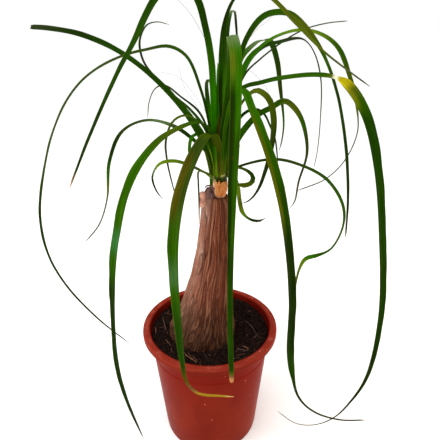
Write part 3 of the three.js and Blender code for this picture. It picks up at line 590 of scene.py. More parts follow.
def skin(rings):
    """A closed surface through rings of points, with a fan over the first and over the last."""
    sides = len(rings[0])
    points = [point for ring in rings for point in ring]
    faces = tube_faces(len(rings), sides)
    for start, end in ((0, False), ((len(rings) - 1) * sides, True)):
        hub = len(points)
        points.append(sum(points[start:start + sides], Vector()) / sides)
        for side in range(sides):
            a = start + side
            b = start + (side + 1) % sides
            faces.append((a, b, hub) if end else (b, a, hub))
    return points, faces


def strap_faces(rows, strips):
    """The faces of a thin strap, whose sections go out along one face of it and back along the other."""
    section = 2 * (strips + 1)
    faces = tube_faces(rows, section)
    for start in (0, (rows - 1) * section):
        back = start + section - 1
        for step in range(strips):
            faces.append((start + step, start + step + 1, back - 1 - step, back - step))
    return faces


def ahead_at(line, index):
    """The direction of a line of points at one of them."""
    return (line[min(index + 1, len(line) - 1)] - line[max(index - 1, 0)]).normalized()


def way(angle):
    """The level direction at an angle from +X towards +Y."""
    return Vector((math.cos(angle), math.sin(angle), 0))


def right_of(angle):
    """The level direction square to that one, on its right."""
    return Vector((math.sin(angle), -math.cos(angle), 0))


def circle(radius, height, sides, middle=(0, 0)):
    """A level ring of points."""
    return [Vector((middle[0] + radius * math.cos(angle), middle[1] + radius * math.sin(angle), height))
            for angle in (2 * math.pi * side / sides for side in range(sides))]


def rounded(profile):
    """A profile of (radius, height, corner rounding) with each corner drawn as a short arc."""
    line = []
    for index, (radius, height, *corner) in enumerate(profile):
        here = Vector((radius, height))
        if not corner:
            line.append(here)
            continue
        before = Vector(profile[index - 1][:2]) - here
        after = Vector(profile[index + 1][:2]) - here
        for share in (0, 0.25, 0.5, 0.75, 1):
            start = here + before.normalized() * min(corner[0], before.length / 2)
            end = here + after.normalized() * min(corner[0], after.length / 2)
            line.append((1 - share) ** 2 * start + 2 * share * (1 - share) * here + share ** 2 * end)
    return line


def through(knots, steps):
    """Points on a smooth curve through the knots, evenly eased between each two."""
    line = []
    for index in range(len(knots) - 1):
        p1, p2 = knots[index], knots[index + 1]
        p0 = knots[index - 1] if index else 2 * p1 - p2
        p3 = knots[index + 2] if index + 2 < len(knots) else 2 * p2 - p1
        d0, d1, d2 = (max((b - a).length ** 0.5, 1e-4) for a, b in ((p0, p1), (p1, p2), (p2, p3)))
        start = ((p1 - p0) / d0 - (p2 - p0) / (d0 + d1) + (p2 - p1) / d1) * d1
        end = ((p2 - p1) / d1 - (p3 - p1) / (d1 + d2) + (p3 - p2) / d2) * d1
        for step in range(steps):
            s = step / steps
            line.append(p1 + start * s + (3 * (p2 - p1) - 2 * start - end) * s ** 2
                        + (2 * (p1 - p2) + start + end) * s ** 3)
    line.append(knots[-1].copy())
    return line


# Materials
class Nodes:
    """Lays out the nodes of a material or of a node group."""

    def __init__(self, tree):
        self.tree = tree

    def feed(self, socket, value):
        if isinstance(value, bpy.types.NodeSocket):
            self.tree.links.new(value, socket)
        else:
            socket.default_value = value

    def node(self, kind, fields=(), **inputs):
        made = self.tree.nodes.new("ShaderNode" + kind)
        for field, value in dict(fields).items():
            setattr(made, field, value)
        for label, value in inputs.items():
            self.feed(made.inputs[label.replace("_", " ")], value)
        return made

    def mark(self, label, output="Fac"):
        return self.node("Attribute", {"attribute_name": label}).outputs[output]

    def place(self):
        """The object's own coordinates in millimetres."""
        coordinates = self.node("TexCoord").outputs["Object"]
        return self.node("Mapping", Vector=coordinates, Scale=[1 / MM] * 3).outputs["Vector"]

    def math(self, operation, a, b):
        made = self.node("Math", {"operation": operation})
        self.feed(made.inputs[0], a)
        self.feed(made.inputs[1], b)
        return made.outputs[0]

    def times(self, a, b):
        return self.math("MULTIPLY", a, b)

    def spread(self, value, low, high, to_low=0.0, to_high=1.0):
        made = self.node("MapRange", {"interpolation_type": "SMOOTHSTEP"}, Value=value)
        for label, level in (("From Min", low), ("From Max", high), ("To Min", to_low), ("To Max", to_high)):
            self.feed(made.inputs[label], level)
        return made.outputs["Result"]

    def mix(self, share, a, b, blend="MIX"):
        made = self.node("Mix", {"data_type": "RGBA", "blend_type": blend})
        self.feed(made.inputs[0], share)
        self.feed(made.inputs[6], a)
        self.feed(made.inputs[7], b)
        return made.outputs[2]

    def tinted(self, colour, tint):
        return self.mix(1.0, colour, tint, "MULTIPLY")

    def squeezed(self, vector, stretch):
        made = self.node("VectorMath", {"operation": "MULTIPLY"})
        self.feed(made.inputs[0], vector)
        self.feed(made.inputs[1], stretch)
        return made.outputs[0]

    def group(self, tree, **inputs):
        made = self.tree.nodes.new("ShaderNodeGroup")
        made.node_tree = tree
        for label, value in inputs.items():
            self.feed(made.inputs[label], value)
        return made.outputs


def group_of(name, inputs, outputs):
    """An empty node group with named sockets, its node helper and its two end nodes."""
    tree = bpy.data.node_groups.new(name, "ShaderNodeTree")
    for label, kind, value in inputs:
        socket = tree.interface.new_socket(label, in_out="INPUT", socket_type="NodeSocket" + kind)
        if value is not None:
            socket.default_value = value
    for label in outputs:
        tree.interface.new_socket(label, in_out="OUTPUT", socket_type="NodeSocketFloat")
    nodes = Nodes(tree)
    given = tree.nodes.new("NodeGroupInput").outputs
    return tree, nodes, given, tree.nodes.new("NodeGroupOutput").inputs


def fibres_group():
    """Fine streaks along a surface, as of veins, wood or bark. Stretch squeezes each axis."""
    tree, nodes, given, result = group_of(
        "fibres", [("Vector", "Vector", None), ("Stretch", "Vector", (1, 1, 1)), ("Contrast", "Float", 1.0)],
        ["Streak", "Height"])
    squeezed = nodes.squeezed(given["Vector"], given["Stretch"])
    streaks = nodes.node("TexNoise", Vector=squeezed, Scale=1.0, Detail=3.0, Roughness=0.6)
    centred = nodes.math("SUBTRACT", streaks.outputs["Fac"], 0.5)
    swung = nodes.times(centred, given["Contrast"])
    nodes.feed(result["Streak"], nodes.math("ADD", swung, 0.5))
    nodes.feed(result["Height"], streaks.outputs["Fac"])
    return tree


def patches_group():
    """Soft patches from broad noise: nothing below From, full above To."""
    tree, nodes, given, result = group_of(
        "patches", [("Vector", "Vector", None), ("Stretch", "Vector", (1, 1, 1)), ("From", "Float", 0.45),
                    ("To", "Float", 0.6)], ["Mask"])
    squeezed = nodes.squeezed(given["Vector"], given["Stretch"])
    cloud = nodes.node("TexNoise", Vector=squeezed, Scale=1.0, Detail=4.0, Roughness=0.55)
    nodes.feed(result["Mask"], nodes.spread(cloud.outputs["Fac"], given["From"], given["To"]))
    return tree


def specks_group():
    """Scattered specks. Spacing is in cells per unit, Size is a share of a cell, Share is how many."""
    tree, nodes, given, result = group_of(
        "specks", [("Vector", "Vector", None), ("Spacing", "Float", 1.0), ("Size", "Float", 0.3),
                   ("Share", "Float", 0.3)], ["Mask"])
    cells = nodes.node("TexVoronoi", Vector=given["Vector"], Scale=given["Spacing"])
    near = nodes.spread(cells.outputs["Distance"], nodes.times(given["Size"], 0.5), given["Size"], 1.0, 0.0)
    lot = nodes.node("SeparateColor", Color=cells.outputs["Color"]).outputs["Red"]
    picked = nodes.math("LESS_THAN", lot, given["Share"])
    nodes.feed(result["Mask"], nodes.times(near, picked))
    return tree


FIBRES = fibres_group()
PATCHES = patches_group()
SPECKS = specks_group()


def material(name, **constants):
    """A new material with its node helper and its shader."""
    made = bpy.data.materials.new(name)
    made.use_nodes = True
    shader = made.node_tree.nodes["Principled BSDF"]
    for label, value in constants.items():
        shader.inputs[label.replace("_", " ")].default_value = value
    return made, Nodes(made.node_tree), shader


def finish(nodes, shader, colour, roughness, height=None, depth=0.0):
    nodes.feed(shader.inputs["Base Color"], colour)
    nodes.feed(shader.inputs["Roughness"], roughness)
    if height is not None:
        bump = nodes.node("Bump", Height=height, Distance=depth * MM)
        nodes.feed(shader.inputs["Normal"], bump.outputs["Normal"])


def leaf_finish():
    """Palm leaf: its tones, with painted highlights and sheens in place of reflections, parallel veins, a
    paler edge, and a few brown flecks.
    """
    made, nodes, shader = material("palm leaf", Specular_IOR_Level=0.005)
    grain = nodes.mark("grain", "Vector")
    veins = nodes.group(FIBRES, Vector=grain, Stretch=(1.7, 0.03, 1.0), Contrast=1.6)
    cloud = nodes.group(PATCHES, Vector=grain, Stretch=(0.22, 0.05, 1.0), From=0.3, To=0.7)
    drawn_out = nodes.node("Mapping", Vector=grain, Scale=(1.0, 0.35, 1.0)).outputs["Vector"]
    flecks = nodes.group(SPECKS, Vector=drawn_out, Spacing=0.35, Size=0.22, Share=0.1)
    tone = nodes.mark("tone", "Color")
    lit = nodes.mix(0.3, tone, nodes.mix(1.0, tone, tone, "SCREEN"))
    shaded = nodes.tinted(tone, srgb(216, 214, 200))
    streaked = nodes.mix(nodes.spread(veins["Streak"], 0.2, 0.8), shaded, lit)
    clouded = nodes.mix(nodes.times(cloud["Mask"], 0.28), streaked, nodes.tinted(tone, srgb(176, 190, 120)))
    margin = nodes.spread(nodes.mark("edge"), 0.82, 1.0, 0.0, 0.2)
    edged = nodes.mix(margin, clouded, srgb(112, 128, 40))
    flecked = nodes.mix(nodes.times(flecks["Mask"], 0.55), edged, srgb(74, 54, 22))
    worn = nodes.spread(cloud["Mask"], 0.0, 1.0, 0.34, 0.44)
    rough = nodes.math("ADD", worn, nodes.times(nodes.mark("dry"), 0.3))
    finish(nodes, shader, flecked, rough, veins["Height"], 0.12)
    return made


def sheath_finish():
    """The clasping feet of old leaves: yellow-green, ribbed, with torn brown scraps."""
    made, nodes, shader = material("leaf sheath", Specular_IOR_Level=0.03)
    grain = nodes.mark("grain", "Vector")
    ribs = nodes.group(FIBRES, Vector=grain, Stretch=(1.2, 0.05, 1.0), Contrast=1.8)
    stains = nodes.group(PATCHES, Vector=grain, Stretch=(0.3, 0.14, 1.0), From=0.48, To=0.6)
    tone = nodes.mark("tone", "Color")
    ribbed = nodes.mix(nodes.spread(ribs["Streak"], 0.2, 0.8), nodes.tinted(tone, srgb(190, 184, 150)), tone)
    stained = nodes.mix(nodes.times(stains["Mask"], 0.6), ribbed, srgb(40, 40, 8))
    finish(nodes, shader, stained, nodes.spread(stains["Mask"], 0.0, 1.0, 0.45, 0.62), ribs["Height"], 0.25)
    return made


def bark_finish():
    """Bark: red-brown, with a sooty grey-brown foot, a paler left side painted as lit, with painted
    highlights and pale flakes on it, a darker warm right side painted as shade, dark furrows and their lips,
    partly painted highlight."""
    made, nodes, shader = material("palm bark", Specular_IOR_Level=0.06)
    place = nodes.place()
    lip = nodes.mark("lip")
    foot = nodes.mark("foot")
    right_shade = nodes.mark("right_shade")
    fibres = nodes.group(FIBRES, Vector=place, Stretch=(1.1, 1.1, 0.12), Contrast=1.9)
    fine = nodes.group(FIBRES, Vector=place, Stretch=(3.2, 3.2, 0.45), Contrast=1.8)
    blush = nodes.group(PATCHES, Vector=place, Stretch=(0.12, 0.12, 0.03), From=0.42, To=0.62)
    # patches that break up the painted light on the left side
    dust = nodes.group(PATCHES, Vector=place, Stretch=(0.3, 0.3, 0.06), From=0.44, To=0.62)
    base = nodes.mix(fibres["Streak"], srgb(92, 43, 28), srgb(142, 81, 58))
    warm = nodes.mix(nodes.times(blush["Mask"], 0.45), base, srgb(140, 70, 40))
    soot = nodes.mix(fibres["Streak"], srgb(46, 29, 19), srgb(104, 76, 52))
    sooty = nodes.mix(nodes.times(foot, 0.72), warm, soot)
    # Painted light: the left side is painted paler, in patches, as lit from the left.
    left_light_patches = nodes.times(nodes.mark("left_light"), nodes.spread(dust["Mask"], 0, 1, 0.5, 0.95))
    left_lit = nodes.mix(left_light_patches, sooty, nodes.mix(foot, srgb(160, 114, 95), srgb(124, 95, 72)))
    # Painted shade: the right side is painted a darker warm brown.
    right_shaded = nodes.mix(nodes.times(right_shade, 0.6), left_lit, srgb(92, 47, 26))
    # Painted highlights on the left side, over the top and over a band of pale flakes.
    pale = nodes.mix(nodes.times(nodes.mark("highlight_and_flakes"), 0.75), right_shaded, srgb(208, 168, 148))
    # The lips are painted paler, partly as a highlight along the ridges, and less so on the painted-shade
    # side.
    raised = nodes.times(lip, nodes.spread(right_shade, 0, 1, 0.6, 0.25))
    lipped = nodes.mix(raised, pale, nodes.mix(foot, srgb(196, 142, 110), srgb(130, 96, 72)))
    cracked = nodes.mix(nodes.times(nodes.mark("furrow"), 0.85), lipped, srgb(40, 18, 12))
    grained = nodes.mix(nodes.spread(fine["Streak"], 0.2, 0.8, 0.0, 0.6), cracked,
                        nodes.tinted(cracked, srgb(156, 132, 120)))
    finish(nodes, shader, grained, nodes.spread(lip, 0.0, 1.0, 0.85, 0.7), fine["Height"], 0.5)
    return made


def cut_wood_finish(name, face, rim, stain):
    """A cut or broken end: a coloured face, a paler rim, stains in its middle."""
    made, nodes, shader = material(name, Specular_IOR_Level=0.08)
    place = nodes.place()
    fibres = nodes.group(FIBRES, Vector=place, Stretch=(1.3, 1.3, 0.3), Contrast=1.6)
    stains = nodes.group(PATCHES, Vector=place, Stretch=(0.3, 0.3, 0.3), From=0.5, To=0.62)
    body = nodes.mix(fibres["Streak"], nodes.tinted(face, srgb(200, 180, 160)), face)
    stained = nodes.mix(nodes.times(stains["Mask"], 0.75), body, stain)
    edged = nodes.mix(nodes.mark("rim"), stained, rim)
    shaded = nodes.mix(nodes.mark("pit"), edged, srgb(46, 24, 16))
    finish(nodes, shader, shaded, nodes.spread(fibres["Streak"], 0.0, 1.0, 0.72, 0.58), fibres["Height"], 0.4)
    return made


def peat_finish():
    """Peat: near black, with brown crumbs and scattered specks of paler dust."""
    made, nodes, shader = material("peat soil", Specular_IOR_Level=0.03)
    place = nodes.place()
    crumbs = nodes.group(PATCHES, Vector=place, Stretch=(0.5, 0.5, 0.5), From=0.4, To=0.62)
    grains = nodes.group(SPECKS, Vector=place, Spacing=0.55, Size=0.4, Share=0.28)
    fibres = nodes.group(FIBRES, Vector=place, Stretch=(1.6, 1.6, 1.6), Contrast=1.5)
    base = nodes.mix(crumbs["Mask"], srgb(11, 6, 5), srgb(36, 22, 17))
    grained = nodes.mix(nodes.times(grains["Mask"], 0.5), base, srgb(62, 42, 33))
    finish(nodes, shader, grained, nodes.spread(crumbs["Mask"], 0.0, 1.0, 0.8, 0.95), fibres["Height"], 0.8)
    return made


def straw_finish():
    """Dry straw and bark chips in the soil."""
    made, nodes, shader = material("dry straw", Specular_IOR_Level=0.3)
    grain = nodes.mark("grain", "Vector")
    fibres = nodes.group(FIBRES, Vector=grain, Stretch=(1.5, 0.2, 1.0), Contrast=1.6)
    tone = nodes.mark("tone", "Color")
    colour = nodes.mix(fibres["Streak"], nodes.tinted(tone, srgb(150, 130, 110)), tone)
    finish(nodes, shader, colour, nodes.spread(fibres["Streak"], 0.0, 1.0, 0.7, 0.5), fibres["Height"], 0.1)
    return made


def terracotta_finish():
    """Glossy terracotta plastic: warm red, a deeper red band under the lip that is painted shade, a lighter
    lip that is painted light from above, dust, grit, scuffs.
    """
    made, nodes, shader = material("terracotta plastic", Specular_IOR_Level=0.015)
    place = nodes.place()
    cloud = nodes.group(PATCHES, Vector=place, Stretch=(0.03, 0.03, 0.02), From=0.38, To=0.64)
    dust = nodes.group(SPECKS, Vector=place, Spacing=0.16, Size=0.12, Share=0.14)
    grit = nodes.group(SPECKS, Vector=place, Spacing=0.11, Size=0.09, Share=0.08)
    scuffs = nodes.group(FIBRES, Vector=place, Stretch=(0.12, 0.12, 1.4), Contrast=1.4)
    lip = nodes.mark("lip")
    base = nodes.mix(cloud["Mask"], srgb(108, 26, 13), srgb(117, 32, 15))
    # Painted shade: the wall above the ledge, under the rim, is painted a deeper red as the rim's shade.
    deep = nodes.mix(nodes.times(nodes.mark("under_lip"), 0.7), base, srgb(114, 20, 9))
    # Painted light: the rim's top is painted lighter, as lit from above.
    lip_lit = nodes.mix(lip, deep, srgb(125, 39, 26))
    wear = nodes.times(lip, nodes.spread(scuffs["Streak"], 0.45, 0.8, 0.0, 0.16))
    worn = nodes.mix(wear, lip_lit, srgb(204, 118, 98))
    dusty = nodes.mix(nodes.times(dust["Mask"], 0.55), worn, srgb(226, 168, 150))
    gritty = nodes.mix(nodes.times(grit["Mask"], 0.8), dusty, srgb(58, 16, 12))
    matt = nodes.spread(scuffs["Streak"], 0.2, 0.8, 0.3, 0.4)
    rough = nodes.math("ADD", matt, nodes.times(dust["Mask"], 0.3))
    finish(nodes, shader, gritty, rough, scuffs["Height"], 0.04)
    return made


LEAF = leaf_finish()
SHEATH = sheath_finish()
BARK = bark_finish()
PEAT = peat_finish()
STRAW = straw_finish()
TERRACOTTA = terracotta_finish()
PALE_CUT = cut_wood_finish("pale cut wood", srgb(208, 139, 76), srgb(240, 186, 146), srgb(176, 84, 22))
SALMON_CUT = cut_wood_finish("salmon cut wood", srgb(224, 170, 148), srgb(160, 104, 86), srgb(210, 146, 122))
DEAD_WOOD = cut_wood_finish("dead wood", srgb(124, 96, 88), srgb(84, 58, 52), srgb(64, 40, 38))


# Leaves
def spine_of(leaf):
    """The line of points along a leaf's spine."""
    knots = []
    for reach, height, *stray in leaf["spine"]:
        angle = math.radians(leaf["heading"] + (stray[0] if stray else 0))
        knots.append(CROWN_AT + Vector((reach * math.cos(angle), reach * math.sin(angle), height)))
    return through(knots, CURVE_STEPS)


def stations(line, heading, spacing):
    """Evenly spaced places along a line: point, direction, side and length so far."""
    lengths = [0.0]
    for a, b in zip(line, line[1:]):
        lengths.append(lengths[-1] + (b - a).length)
    count = max(6, round(lengths[-1] / spacing))
    side = right_of(heading)
    places = []
    row = 0
    for step in range(count + 1):
        target = lengths[-1] * step / count
        while row < len(line) - 2 and lengths[row + 1] < target:
            row += 1
            ahead = (line[row + 1] - line[row]).normalized()
            side = (side - ahead * side.dot(ahead)).normalized()
        share = (target - lengths[row]) / max(lengths[row + 1] - lengths[row], 1e-6)
        point = line[row].lerp(line[row + 1], min(1.0, share))
        before = line[max(row - 1, 0)]
        after = line[min(row + 2, len(line) - 1)]
        ahead = (line[row + 1] - line[row]).normalized().lerp((after - before).normalized(), 0.5)
        ahead.normalize()
        places.append((point, ahead, (side - ahead * side.dot(ahead)).normalized(), target))
    return places


def tone_of(name):
    """A named tone as a linear colour that can be blended."""
    return Vector(srgb(*TONES[name]))


def strap(leaf, seed):
    """A leaf: a thin closed strap, clasping at its foot, folded along its midrib, rippled at its edges."""
    shape = Shape()
    places = stations(spine_of(leaf), math.radians(leaf["heading"]), STATION)
    length = places[-1][3]
    foot = leaf["foot"]
    tones = [(share, tone_of(name)) for share, name in leaf["tones"]]
    points, grain, tone, edge, dry = [], [], [], [], []
    for point, ahead, side, so_far in places:
        share = so_far / length
        turn = Quaternion(ahead, math.radians(along(leaf.get("twist", UNTWISTED), share)))
        across = turn @ side
        up = across.cross(ahead)
        clasp = 1 - smooth(so_far, 0, foot)
        width = along(leaf["widths"], share) * (1 + FOOT_SPREAD * clasp)
        left = length - so_far
        if leaf.get("blunt"):
            width *= lerp(0.75, 1, smooth(left, 0, 1.5))
        else:
            width *= math.sqrt(smooth(left, -0.4, TIP_LENGTH))
        width = max(TIP_WIDTH, width)
        wrap = lerp(BLADE_BEND, FOOT_BEND, clasp)
        thick = min(BLADE_THICKNESS, 0.3 * width)
        base_tone = stops_at(tones, share)
        for face in (0.5, -0.5):
            strip_order = range(ACROSS + 1) if face > 0 else range(ACROSS, -1, -1)
            for strip in strip_order:
                out = 2 * strip / ACROSS - 1
                ripple = noise.noise(Vector((so_far / RIPPLE_LENGTH, 3.1 * (out > 0), seed)))
                reach = out * width / 2 * (1 + RIPPLE * ripple)
                fold = leaf.get("fold", LEAF_FOLD) * width * abs(out) ** 1.5 * (1 - clasp)
                lift = wrap * (1 - math.cos(reach / wrap)) + fold + RIPPLE * width * ripple * out * out
                lift += face * thick * (1 - 0.75 * out * out)
                points.append(point + across * wrap * math.sin(reach / wrap) + up * lift)
                here = base_tone
                for hand, low, high, name in leaf.get("stripes", ()):
                    shown = smooth(share, low, low + 0.05) * (1 - smooth(share, high - 0.06, high))
                    here = here.lerp(tone_of(name), shown * smooth(out * hand, -0.3, 0.3))
                cloud = noise.noise(Vector((so_far / TONE_DRIFT_LENGTH, 0.4 * out, seed + 9)))
                drift = 1 + TONE_DRIFT * cloud
                tone.append(tuple(min(1.0, part * drift) for part in here[:3]) + (1.0,))
                grain.append((out * width / 2, so_far, seed * 7.0))
                edge.append(abs(out))
                dry.append(float(here[0] > here[1]))
    shape.add(points, strap_faces(len(places), ACROSS), grain=grain, tone=tone, edge=edge, dry=dry)
    return shape


for order, (node, leaf) in enumerate(LEAVES.items()):
    piece(node.replace("leaf_", "blade_"), strap(leaf, order + 1.0), LEAF, replaces=[node])


# Fine dry hairs among the leaves: heading and spine, as for a leaf
HAIRS = [
    (160, [(11.5, 54.3), (18.1, 63.4), (29.5, 76.7), (36.1, 81.3), (49.8, 83.6)]),
    (150, [(13, 44), (19.8, 56.5), (24.4, 62.4), (32.5, 72.8), (36.6, 86.4)]),
    (197, [(9.7, 106.4), (13.4, 112.5), (20.5, 123.7), (25.5, 129.4), (30.3, 133.8)]),
    (8, [(22, 108), (29.8, 116.3), (35, 119.6), (39.4, 123.7)]),
    (43, [(24, 76), (29, 84), (34.8, 83.3), (50.4, 73.3), (58.8, 65.1), (63.4, 57.8)]),
    (300, [(24, 44), (27.8, 36.9), (30.7, 31.4), (34.8, 27.7)]),
    (315, [(62.9, 3.1), (56.7, -2.6), (51.5, -11.5), (47, -21.4)]),
]


def dry_hairs():
    """The hairs, each a three-sided thread that thins towards its end."""
    shape = Shape()
    for heading, spine in HAIRS:
        line = spine_of({"heading": heading, "spine": spine})
        rings = []
        for index, point in enumerate(line):
            ahead = ahead_at(line, index)
            side = ahead.cross(Vector((0.3, 0.2, 1))).normalized()
            half = HAIR_WIDTH / 2 * lerp(1, 0.5, index / (len(line) - 1))
            rings.append([point + side * half, point + ahead.cross(side) * half, point - side * half])
        points, faces = skin(rings)
        grain = [(0.0, index / 3, 1.0) for index in range(len(points))]
        shape.add(points, faces, tone=[tuple(tone_of("hair"))] * len(points), grain=grain)
    return shape


piece("dry_hairs", dry_hairs(), STRAW)


# Crown: the stem that carries the leaves, with the torn feet of old leaves round it
CROWN_PROFILE = [  # radius and height
    (3.4, 267), (4.9, 268.1), (5.6, 269.4), (6.1, 273), (6.3, 279),
    (6.2, 286), (5.6, 294), (4.6, 304), (3.2, 314), (1, 323),
]
CROWN_SIDES = 96

# Tones of the clasping feet, from +X towards +Y all round
FOOT_TONES = [
    "deep", "fresh", "sheath", "leaf", "sheath", "fresh",
    "lime", "bright", "olive", "bronze", "deep", "dark",
]

# Scales, the torn feet of old leaves: heading, height above the crown's foot, rise, width and tone
SCALES = [
    (200, -1, 6, 5, "lime"), (222, -1.6, 5, 3, "cream"), (238, -1, 5, 4, "olive"),
    (262, -1.4, 5, 5, "deep"), (284, -1, 6, 4, "olive"), (304, -1.4, 7, 6, "deep"),
    (326, -1, 8, 7, "deep"), (352, -1.4, 9, 7, "dark"), (30, -1, 9, 8, "sheath"),
    (75, -1, 7, 8, "olive"), (118, -1, 9, 8, "sheath"), (162, -1, 7, 7, "lime"),
]
SCALE_SEED = 7
SCALE_STEPS = 6  # rows up a scale, and strips across it
SCALE_THICKNESS = 0.35


def turn_of(point):
    """A point's angle round the crown's axis."""
    return math.atan2(point.y, point.x - CROWN_AT.x)


def crown_core():
    """The stem of clasping feet, like a leek's: its tones change from foot to foot round it."""
    shape = Shape()
    feet = len(FOOT_TONES)
    rings = []
    for radius, height in CROWN_PROFILE:
        ring = []
        for side, point in enumerate(circle(radius, height, CROWN_SIDES, CROWN_AT[:2])):
            out = (point - CROWN_AT).to_2d().normalized().to_3d()
            clasp = (side / CROWN_SIDES * feet) % 1
            ring.append(point + out * (0.55 * clasp - 0.3) * smooth(height, 268, 273))
        rings.append(ring)
    points, faces = skin(rings)
    tones = []
    for point in points:
        turn = turn_of(point) / (2 * math.pi) * feet
        foot = tone_of(FOOT_TONES[int(turn) % feet])
        tones.append(tuple(tone_of("moss").lerp(foot, smooth(point.z, 267.6, 271.5))))
    shape.add(points, faces, tone=tones, grain=[(6 * turn_of(point), point.z, 2.0) for point in points])
    return shape


def crown_scales():
    """Short torn scales round the bottom of the crown."""
    shape = Shape()
    chance = random.Random(SCALE_SEED)
    for index, (degrees, foot_height, rise, width, name) in enumerate(SCALES):
        out = way(math.radians(degrees))
        across = right_of(math.radians(degrees))
        tip = tone_of(chance.choice(["cream", "lime", "brown"]))
        points, tones = [], []
        for step in range(SCALE_STEPS + 1):
            share = step / SCALE_STEPS
            reach = 5.3 + 1.2 * smooth(share, 0, 0.5)
            spot = CROWN_AT + Vector((0, 0, foot_height + rise * share))
            half = width / 2 * (1 - share) ** 0.6 + 0.25
            for face in (0, SCALE_THICKNESS):
                order = range(SCALE_STEPS + 1) if face == 0 else range(SCALE_STEPS, -1, -1)
                for strip in order:
                    turn = (strip * 2 / SCALE_STEPS - 1) * half / 6
                    jag = 0.8 * noise.noise(Vector((strip * 1.3, index, 5.0))) * smooth(share, 0.6, 1)
                    direction = out * math.cos(turn) - across * math.sin(turn)
                    points.append(spot + direction * (reach + face) + Vector((0, 0, jag)))
                    tones.append(tuple(tone_of(name).lerp(tip, smooth(share, 0.55, 1))))
        grain = [(12 * turn_of(point), point.z, 3.0 + index) for point in points]
        shape.add(points, strap_faces(SCALE_STEPS + 1, SCALE_STEPS), tone=tones, grain=grain)
    return shape


piece("crown_core", crown_core(), SHEATH, replaces=["crown"])
piece("crown_scales", crown_scales(), SHEATH)


# Trunk
def crest_of(value, sharpness):
    """1 where the noise value crosses nought, falling off to 0 on either side."""
    return 1 - min(1.0, sharpness * abs(value))


def drift_at(place):
    """A slow sideways wander: three readings of the noise, far apart."""
    return Vector([noise.noise(place + Vector(shift)) for shift in ((11, 0, 0), (0, 23, 0), (0, 0, 37))])


def bark_at(out, height):
    """Lift of the bark, and its marks: the furrow, the lip beside it, the bulb's foot, the left side painted
    lighter as lit, the painted highlights and pale flakes on it, and the right side painted darker as shade."""
    def grain_at(turns, rise, shift, bent=0.0):
        place = Vector((out.x * turns, out.y * turns, height / rise))
        return noise.noise(place + bent * wander + Vector(shift))

    foot = 1 - smooth(height, *BULB_FADE)
    wander = 0.5 * drift_at(Vector((out.x * 1.6, out.y * 1.6, height / 26)))
    line = grain_at(3.4, 115, (38.3, -12.4, -28.1), 1.0)
    narrow = grain_at(7, 36, (7, 3, 11), 1.3)
    crazed = grain_at(13, 13, (2, 9, 5), 1.1)
    fine = lerp(narrow, crazed, foot)
    furrow = max(crest_of(line, 9) ** 1.3 * lerp(0.9, 0.5, foot),
                 crest_of(fine, lerp(4.5, 2, foot)) ** 1.2 * lerp(0.4, 1, foot))
    fine_lip = lerp(0.6, 1, foot) * crest_of(fine - 0.26, lerp(5.5, 4, foot))
    lip = max(crest_of(line - 0.15, 9), fine_lip) ** 1.2
    swell = grain_at(1.8, 40, (3, 8, 2))
    lift = 0.55 * lip - lerp(0.6, 0.8, foot) * furrow + lerp(0.6, 0.3, foot) * swell
    # painted light: the left side lighter, as lit from the left
    left_light = smooth(-out.x + 0.3 * swell, 0.3, 0.9) * smooth(height, PAINTED_SIDES_FROM, 140)
    # painted highlights on the left side, over the top and over a band of pale flakes
    band = 0.8 * crest_of(height - FLAKE_BAND, 1 / FLAKE_REACH)
    highlight_and_flakes = (smooth(-out.x + 0.5 * swell, 0.45, 0.85) * (0.5 + 0.5 * lip)
                * max(smooth(height, *HIGHLIGHT_TOP), band))
    # painted shade: the right side darker
    right_shade = smooth(out.x + 0.3 * swell, -0.1, 0.45) * smooth(height, PAINTED_SIDES_FROM, 150)
    return lift, furrow, lip * (1 - furrow), foot, left_light, highlight_and_flakes, right_shade


def trunk_skin():
    """The trunk's closed skin, from its foot inside the soil to the stubs."""
    shape = Shape()
    outline = through([Vector(row) for row in TRUNK], 12)
    step = (len(outline) - 1) / TRUNK_RINGS
    rings, marks = [], []
    for row in range(TRUNK_RINGS + 1):
        at = row * step
        low = outline[int(at)]
        high = outline[min(int(at) + 1, len(outline) - 1)]
        height, middle, radius = low.lerp(high, at - int(at))
        ring = []
        for point in circle(radius, height, TRUNK_SIDES, (middle, 0)):
            out = Vector((point.x - middle, point.y, 0)).normalized()
            lift, *here = bark_at(out, height)
            ring.append(point + out * lift * smooth(height, *BURIED))
            marks.append(here)
        rings.append(ring)
    marks += [marks[0], marks[-1]]
    labels = ("furrow", "lip", "foot", "left_light", "highlight_and_flakes", "right_shade")
    shape.add(*skin(rings), **{label: list(values) for label, values in zip(labels, zip(*marks))})
    return shape


piece("trunk_bark", trunk_skin(), BARK, replaces=["trunk"])


